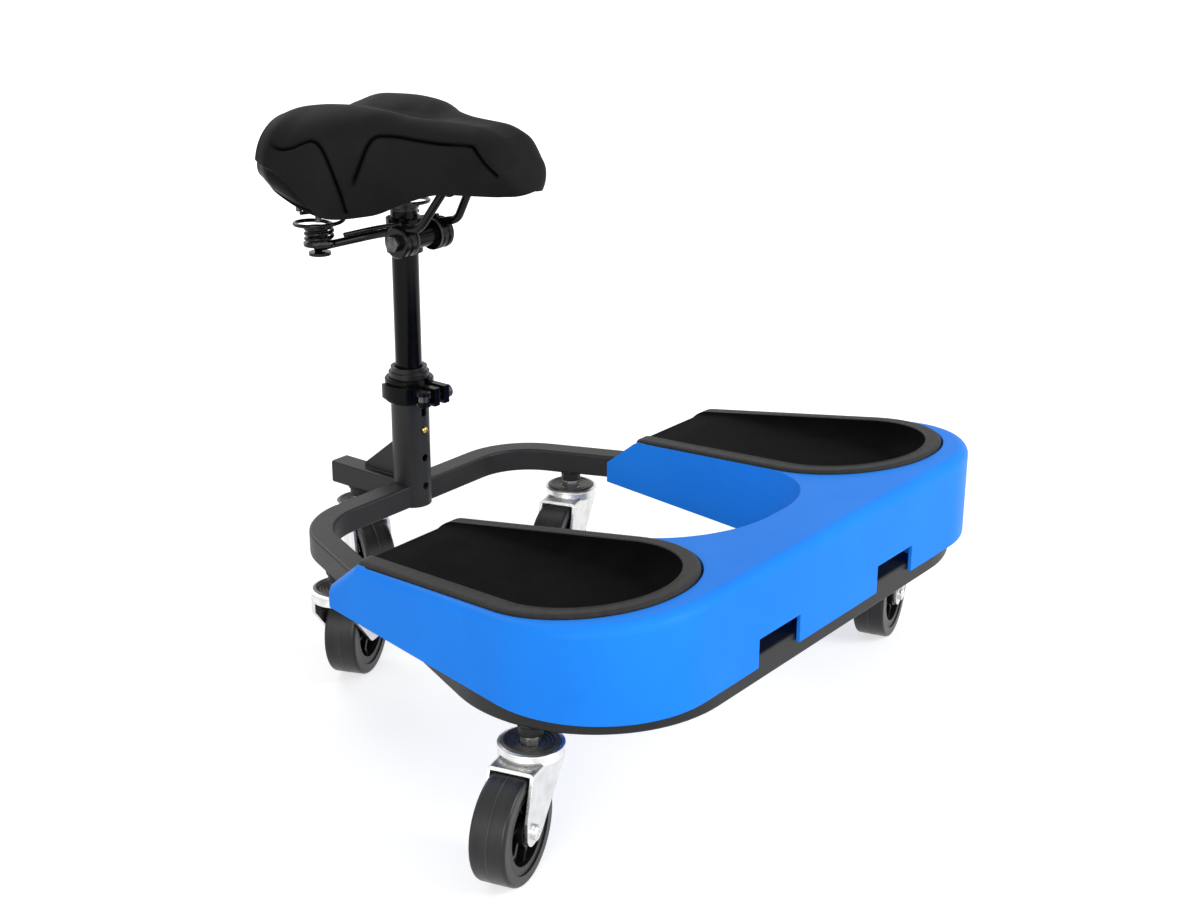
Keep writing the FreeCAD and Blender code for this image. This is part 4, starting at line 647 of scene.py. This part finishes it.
def pad_spokes():
    """Pairs of a point on the outline and one on the middle line, from the outer rear round the front."""
    outer_long, inner_long = math.hypot(1, OUTER_SLOPE), math.hypot(1, INNER_SLOPE)
    slopes = OUTER_SLOPE + INNER_SLOPE
    radius = (PAD_OUTER - PAD_INNER + slopes * (PAD_FRONT - PAD_REAR)) / (outer_long + inner_long + slopes)
    centre_y = PAD_FRONT - radius
    centre_x = PAD_OUTER + OUTER_SLOPE * (centre_y - PAD_REAR) - radius * outer_long
    end_middle = (PAD_OUTER + PAD_INNER - (OUTER_SLOPE - INNER_SLOPE) * (PAD_REAR - PAD_END)) / 2

    def side(start, slope, sign, touch):
        spokes = []
        steps = [PAD_END + step for step in END_STEPS]
        for y in steps + list(np.linspace(steps[-1], touch, SIDE_POINTS)[1:]):
            share = (y - PAD_END) / (touch - PAD_END)
            back = max(END_CORNER - (y - PAD_END), 0.0)
            turn_in = END_CORNER - math.sqrt(END_CORNER ** 2 - back ** 2)
            x = start + sign * (slope * (y - PAD_REAR) - turn_in)
            middle = (end_middle + (centre_x - end_middle) * share, PAD_END + (centre_y - PAD_END) * share)
            spokes.append(((x, y), middle))
        return spokes

    outer = side(PAD_OUTER, OUTER_SLOPE, 1, centre_y - radius * OUTER_SLOPE / outer_long)
    inner = side(PAD_INNER, INNER_SLOPE, -1, centre_y - radius * INNER_SLOPE / inner_long)
    angles = np.linspace(-math.atan(OUTER_SLOPE), math.pi + math.atan(INNER_SLOPE), ARC_POINTS)[1:-1]
    arc = [
        ((centre_x + radius * math.cos(a), centre_y + radius * math.sin(a)), (centre_x, centre_y)) for a in angles
    ]
    return outer + arc + inner[::-1]


def build_pad(name, side):
    """Foam pad with a bowl, closed underneath, whose rear rolls over the tray's ridge."""
    points, tops = [], []
    for (px, py), (mx, my) in pad_spokes():
        reach = math.hypot(px - mx, py - my)
        gaps = GAPS + list(np.linspace(GAPS[-1], reach, MIDDLE_POINTS)[1:])
        points += [(mx, my, pad_under(my)), (px, py, pad_under(py))]
        tops += [UNDERNEATH, UNDERNEATH]
        for gap in gaps:
            share = gap / reach
            x, y = px + (mx - px) * share, py + (my - py) * share
            points.append((x, y, pad_height(gap, y)))
            tops.append(gap)
    columns = len(GAPS) + MIDDLE_POINTS + 1
    rows = len(points) // columns
    faces = grid_faces(rows, columns, True)
    faces += [tuple(range(columns)), tuple((rows - 1) * columns + n for n in range(columns))]
    placed = [(side * x, -y, z) for x, y, z in points]
    # rim faces take the foam's lighter copy with painted sheen, bowl faces the darker copy with painted shade
    rim = [face for face in faces if max(tops[n] for n in face) <= RIM_WIDTH]
    bowl = [face for face in faces if max(tops[n] for n in face) > RIM_WIDTH]
    pad = new_piece(
        f"knee_cushion_{name}", placed, rim + bowl, FOAM_PAINTED_SHEEN, "frame", "pad_foam", [f"knee_pad_{name}"], True
    )
    pad.data.materials.append(FOAM_PAINTED_SHADE)
    for face in pad.data.polygons:
        face.material_index = int(face.index >= len(rim))


build_pad("left", 1)
build_pad("right", -1)


# Caster races and stem nuts

# radius and height round the fixed race above a fork, with its rolled edge, lip and stepped seal
RACE_PROFILE = [
    (7.9, 82.9), (22.4, 82.9), (22.8, 83.3), (22.8, 84.4), (22.6, 84.8), (22.1, 85.0), (20.6, 85.5), (19.2, 86.2),
    (18.8, 86.5), (18.2, 86.6), (17.7, 86.4), (17.2, 85.7), (16.6, 84.9), (15.4, 84.6), (15.1, 85.1), (14.4, 85.1),
    (14.1, 84.5), (12.9, 84.3), (12.6, 84.8), (11.9, 84.8), (11.6, 84.2), (10.2, 84.0), (9.9, 84.4), (8.6, 84.4),
    (7.9, 83.8),
]
RACE_SIDES, SEAL_RADIUS = 96, 20.6
NUT_PROFILE = [(5.0, 83.6), (7.4, 83.6), (7.4, 90.0), (6.5, 90.9), (5.0, 90.9)]
NUT_SIDES, NUT_TURN = 6, 0.3


def upright(x, y, turn=0.0):
    """Placing of a ring on an upright axis."""
    def spot(a, b, height):
        return (
            x + a * math.cos(turn) - b * math.sin(turn), y + a * math.sin(turn) + b * math.cos(turn), height
        )
    return spot


races = join([lathe(RACE_PROFILE, RACE_SIDES, upright(x, y)) for x, y, _ in CASTERS.values()])
race_rings = new_piece("caster_races", *races, ZINC, "frame", "zinc", ["upper_races"])
race_rings.data.materials.append(RACE)
middles = [Vector((x * MM, y * MM)) for x, y, _ in CASTERS.values()]
for face in race_rings.data.polygons:
    face.material_index = int(min((face.center.xy - middle).length for middle in middles) < SEAL_RADIUS * MM)
nuts = join([lathe(NUT_PROFILE, NUT_SIDES, upright(x, y, NUT_TURN)) for x, y, _ in CASTERS.values()])
new_piece("stem_nuts", *nuts, ZINC, "frame", "zinc")


# Rolled ends of the axles

# radius and distance from the wheel's middle plane
RIVET_PROFILE = [(1.3, 19.2), (1.5, 19.7), (2.2, 20.1), (3.2, 20.1), (4.0, 19.8), (4.4, 19.2)]
RIVET_SIDES = 40


def on_axle(at, sign):
    """Placing of a ring on one end of an axle."""
    centre, turn = wheel_hub(at)
    hub = Vector(centre)
    across = Vector((-math.sin(turn), math.cos(turn), 0.0))
    along = Vector((math.cos(turn), math.sin(turn), 0.0))

    def spot(a, b, out):
        return hub + along * a + Vector((0, 0, b)) + across * (sign * out)
    return spot


for at in CASTERS:
    rivets = join([lathe(RIVET_PROFILE, RIVET_SIDES, on_axle(at, sign)) for sign in (1, -1)])
    new_piece(f"axle_ends_{at}", *rivets, ZINC, f"caster_{at}", "zinc")


# Button dome, toothed rings and weld beads

BUTTON_HEIGHT, DOME_SIDES = 167.3, 40
# radius and distance in front of the post's axis
DOME_PROFILE = [
    (0.02, 14.4), (2.8, 14.4), (2.85, 16.0), (2.7, 16.6), (2.3, 17.2), (1.6, 17.65), (0.8, 17.9), (0.02, 17.95),
]
dome = lathe(DOME_PROFILE, DOME_SIDES, lambda a, b, out: (a, -out, BUTTON_HEIGHT + b))
new_piece("button_dome", *dome, BRASS, "button", "brass")

# place of the saddle clamp along Y, radii of its rings, and their near and far faces
CLAMP_Y, RING_INNER, RING_OUTER, RING_NEAR, RING_FAR = -17.0, 12.3, 13.0, 12.7, 14.9
RING_TEETH, TOOTH_DEPTH, TOOTH_ROWS = 44, 0.5, 4


def toothed_ring(side):
    """Ring with fine teeth round a clamp disc."""
    rows = RING_TEETH * TOOTH_ROWS
    points = []
    for n in range(rows):
        angle = 2 * math.pi * (n + 0.5) / rows
        outer = RING_OUTER if n % TOOTH_ROWS in (1, 2) else RING_OUTER - TOOTH_DEPTH
        section = ((RING_INNER, RING_NEAR), (outer, RING_NEAR), (outer, RING_FAR), (RING_INNER, RING_FAR))
        for radius, x in section:
            y, z = CLAMP_Y + radius * math.cos(angle), CLAMP_HEIGHT + radius * math.sin(angle)
            points.append((side * x, y, z))
    return points, ring_faces(rows, len(section))


new_piece("clamp_teeth", *join([toothed_ring(side) for side in (1, -1)]), STEM, "post", "dark_steel")

SEAT_RADIUS, HALF_TUBE, TUBE_LOW, TUBE_TOP, BOSS_RADIUS = 15.9, 10.0, 99.0, 119.0, 8.5
GUSSET_HALF, GUSSET_TOP, GUSSET_END = 2.5, 149.0, 53.0
# radius of a bead on the tubes, the gusset and the bosses, and its lower end on the tubes
BEAD_RADIUS, GUSSET_BEAD, BOSS_BEAD, BEAD_LOW = 1.7, 1.2, 1.5, 100.0
# a bead thins over its fade to a share of its radius, and has fine ripples and slow swells
BEAD_STEP, LEAST_STEPS, BEAD_SIDES, BEAD_FADE, BEAD_END = 0.45, 4, 10, 3.0, 0.45
RIPPLE, RIPPLE_PITCH, SWELL, SWELL_RATE, SWELL_START = 0.16, 2.8, 0.1, 0.61, 1.0
# points over a tube, the last of them that the gusset hides, and points round a boss
OVER_POINTS, HIDDEN_POINT, BOSS_POINTS, BOSS_START = 15, 8, 60, 0.4


def bead(corners, radius=BEAD_RADIUS):
    """Rippled weld bead along a path."""
    corners = np.array(corners, float)
    lengths = run_lengths(corners)
    places = np.linspace(0.0, lengths[-1], max(int(lengths[-1] / BEAD_STEP), LEAST_STEPS))
    path = np.column_stack([np.interp(places, lengths, column) for column in corners.T])
    ripple = RIPPLE * np.sin(2 * math.pi * places / RIPPLE_PITCH)
    swell = SWELL * np.sin(places * SWELL_RATE + SWELL_START)
    fade = np.minimum(np.minimum(places, lengths[-1] - places) / BEAD_FADE, 1.0)
    return tube(path, radius * (1 + ripple + swell) * (BEAD_END + (1 - BEAD_END) * fade), BEAD_SIDES)


def cope(offset):
    """Distance from the seat tube's axis to its wall, along a line that passes the axis at an offset."""
    return math.sqrt(SEAT_RADIUS ** 2 - offset ** 2)


beads = []
over = np.linspace(-HALF_TUBE, HALF_TUBE, OVER_POINTS)
reach = cope(HALF_TUBE)
for side in (1, -1):
    path = [(side * reach, -HALF_TUBE, BEAD_LOW), (side * reach, -HALF_TUBE, TUBE_TOP)]
    path += [(side * cope(v), v, TUBE_TOP) for v in over[1:-1]]
    path += [(side * reach, HALF_TUBE, TUBE_TOP), (side * reach, HALF_TUBE, BEAD_LOW)]
    beads.append(bead(path))
    path = [(side * HALF_TUBE, reach, BEAD_LOW), (side * HALF_TUBE, reach, TUBE_TOP)]
    path += [(side * v, cope(v), TUBE_TOP) for v in over[-2:HIDDEN_POINT:-1]]
    beads.append(bead(path))
    corner = (side * GUSSET_HALF, cope(GUSSET_HALF), TUBE_TOP)
    beads.append(bead([(*corner[:2], GUSSET_TOP), corner], GUSSET_BEAD))
    beads.append(bead([corner, (side * GUSSET_HALF, GUSSET_END, TUBE_TOP)], GUSSET_BEAD))
for x, y, _ in CASTERS.values():
    path = [
        (x + BOSS_RADIUS * math.cos(a), y + BOSS_RADIUS * math.sin(a), TUBE_LOW)
        for a in np.linspace(BOSS_START, BOSS_START + 2 * math.pi, BOSS_POINTS)
    ]
    beads.append(bead(path, BOSS_BEAD))
new_piece("weld_beads", *join(beads), POWDER, "frame", "frame_paint")


# Floor, light and camera

WHITE = (1.0, 1.0, 1.0, 1.0)
FLOOR_HALF, FLOOR_GREY, FLOOR_ROUGH = 30.0, (0.6, 0.6, 0.6, 1.0), 0.9
# the floor shines by itself, less near the stool's middle than away from it, so that a soft shadow is left
STOOL_MIDDLE = (0.0, -0.18, 0.0)
NEAR_GLOW, FAR_GLOW, GLOW_START, GLOW_END = 0.62, 1.0, 0.4, 1.2
# strength of the world as light and as background
WORLD_LIGHT, WORLD_SHOWN = 0.42, 1.0


def seen_rays(tree):
    """One for rays that show the background: camera, glossy and transmission rays."""
    rays = tree.nodes.new("ShaderNodeLightPath")
    shown = rays.outputs["Is Camera Ray"]
    for kind in ("Is Glossy Ray", "Is Transmission Ray"):
        larger = tree.nodes.new("ShaderNodeMath")
        larger.operation = "MAXIMUM"
        tree.links.new(shown, larger.inputs[0])
        tree.links.new(rays.outputs[kind], larger.inputs[1])
        shown = larger.outputs["Value"]
    return shown


def floor_material():
    """White floor that shines towards the camera and in reflections only."""
    material, tree, shader, coords = new_material("floor_white")
    looks = {"Base_Color": FLOOR_GREY, "Roughness": FLOOR_ROUGH, "Specular_IOR_Level": 0.0, "Emission_Color": WHITE}
    set_sockets(shader, looks)
    distance = tree.nodes.new("ShaderNodeVectorMath")
    distance.operation = "DISTANCE"
    distance.inputs[1].default_value = STOOL_MIDDLE
    tree.links.new(coords, distance.inputs[0])
    glow = spread(tree, distance.outputs["Value"], NEAR_GLOW, FAR_GLOW, GLOW_START, GLOW_END)
    strength = tree.nodes.new("ShaderNodeMath")
    strength.operation = "MULTIPLY"
    tree.links.new(glow, strength.inputs[0])
    tree.links.new(seen_rays(tree), strength.inputs[1])
    tree.links.new(strength.outputs["Value"], shader.inputs["Emission Strength"])
    return material


floor_mesh = bpy.data.meshes.new("floor")
floor_corners = [(FLOOR_HALF * x, FLOOR_HALF * y, 0) for x, y in ((-1, -1), (1, -1), (1, 1), (-1, 1))]
floor_mesh.from_pydata(floor_corners, [], [(0, 1, 2, 3)])
floor_mesh.materials.append(floor_material())
floor = bpy.data.objects.new("floor", floor_mesh)
bpy.context.scene.collection.objects.link(floor)

world = bpy.data.worlds.new("studio")
bpy.context.scene.world = world
world.use_nodes = True
background = world.node_tree.nodes["Background"]
background.inputs["Color"].default_value = WHITE
world_strength = spread(world.node_tree, seen_rays(world.node_tree), WORLD_LIGHT, WORLD_SHOWN, 0.0, 1.0)
world.node_tree.links.new(world_strength, background.inputs["Strength"])


def lamp(name, spot, target, size, power):
    """Round area lamp aimed at a target."""
    data = bpy.data.lights.new(name, "AREA")
    data.shape = "DISK"
    data.size = size
    data.energy = power
    item = bpy.data.objects.new(name, data)
    item.location = spot
    item.rotation_euler = (Vector(target) - Vector(spot)).to_track_quat("-Z", "Y").to_euler()
    bpy.context.scene.collection.objects.link(item)


# place, target, size and power
lamp("key", (0.7, -2.5, 1.3), (0.0, -0.2, 0.15), 1.4, 46.0)
lamp("fill", (-2.4, -1.0, 1.0), (0.0, -0.1, 0.2), 1.6, 32.0)
lamp("rim", (0.6, 2.2, 2.0), (0.0, 0.0, 0.2), 1.6, 22.0)

# the camera as solved on the photograph
PITCH, YAW, ROLL = math.radians(19.814), math.radians(52.087), math.radians(-0.2418)
EYE = Vector((-1.05914, -1.0273, 0.6749))
FOCAL_PIXELS, PHOTO_WIDTH, SENSOR_WIDTH = 1840.33, 1200.0, 36.0
ahead = Vector((math.sin(YAW) * math.cos(PITCH), math.cos(YAW) * math.cos(PITCH), -math.sin(PITCH)))
level_right = Vector((math.cos(YAW), -math.sin(YAW), 0.0))
level_down = ahead.cross(level_right)
right = level_right * math.cos(ROLL) + level_down * math.sin(ROLL)
up = level_right * math.sin(ROLL) - level_down * math.cos(ROLL)
camera_data = bpy.data.cameras.new("camera")
camera_data.sensor_width = SENSOR_WIDTH
camera_data.sensor_fit = "HORIZONTAL"
camera_data.lens = FOCAL_PIXELS / PHOTO_WIDTH * SENSOR_WIDTH
camera = bpy.data.objects.new("camera", camera_data)
camera.matrix_world = Matrix.Translation(EYE) @ Matrix((right, up, -ahead)).transposed().to_4x4()
bpy.context.scene.collection.objects.link(camera)
bpy.context.scene.camera = camera
bpy.context.scene.view_settings.view_transform = "Standard"
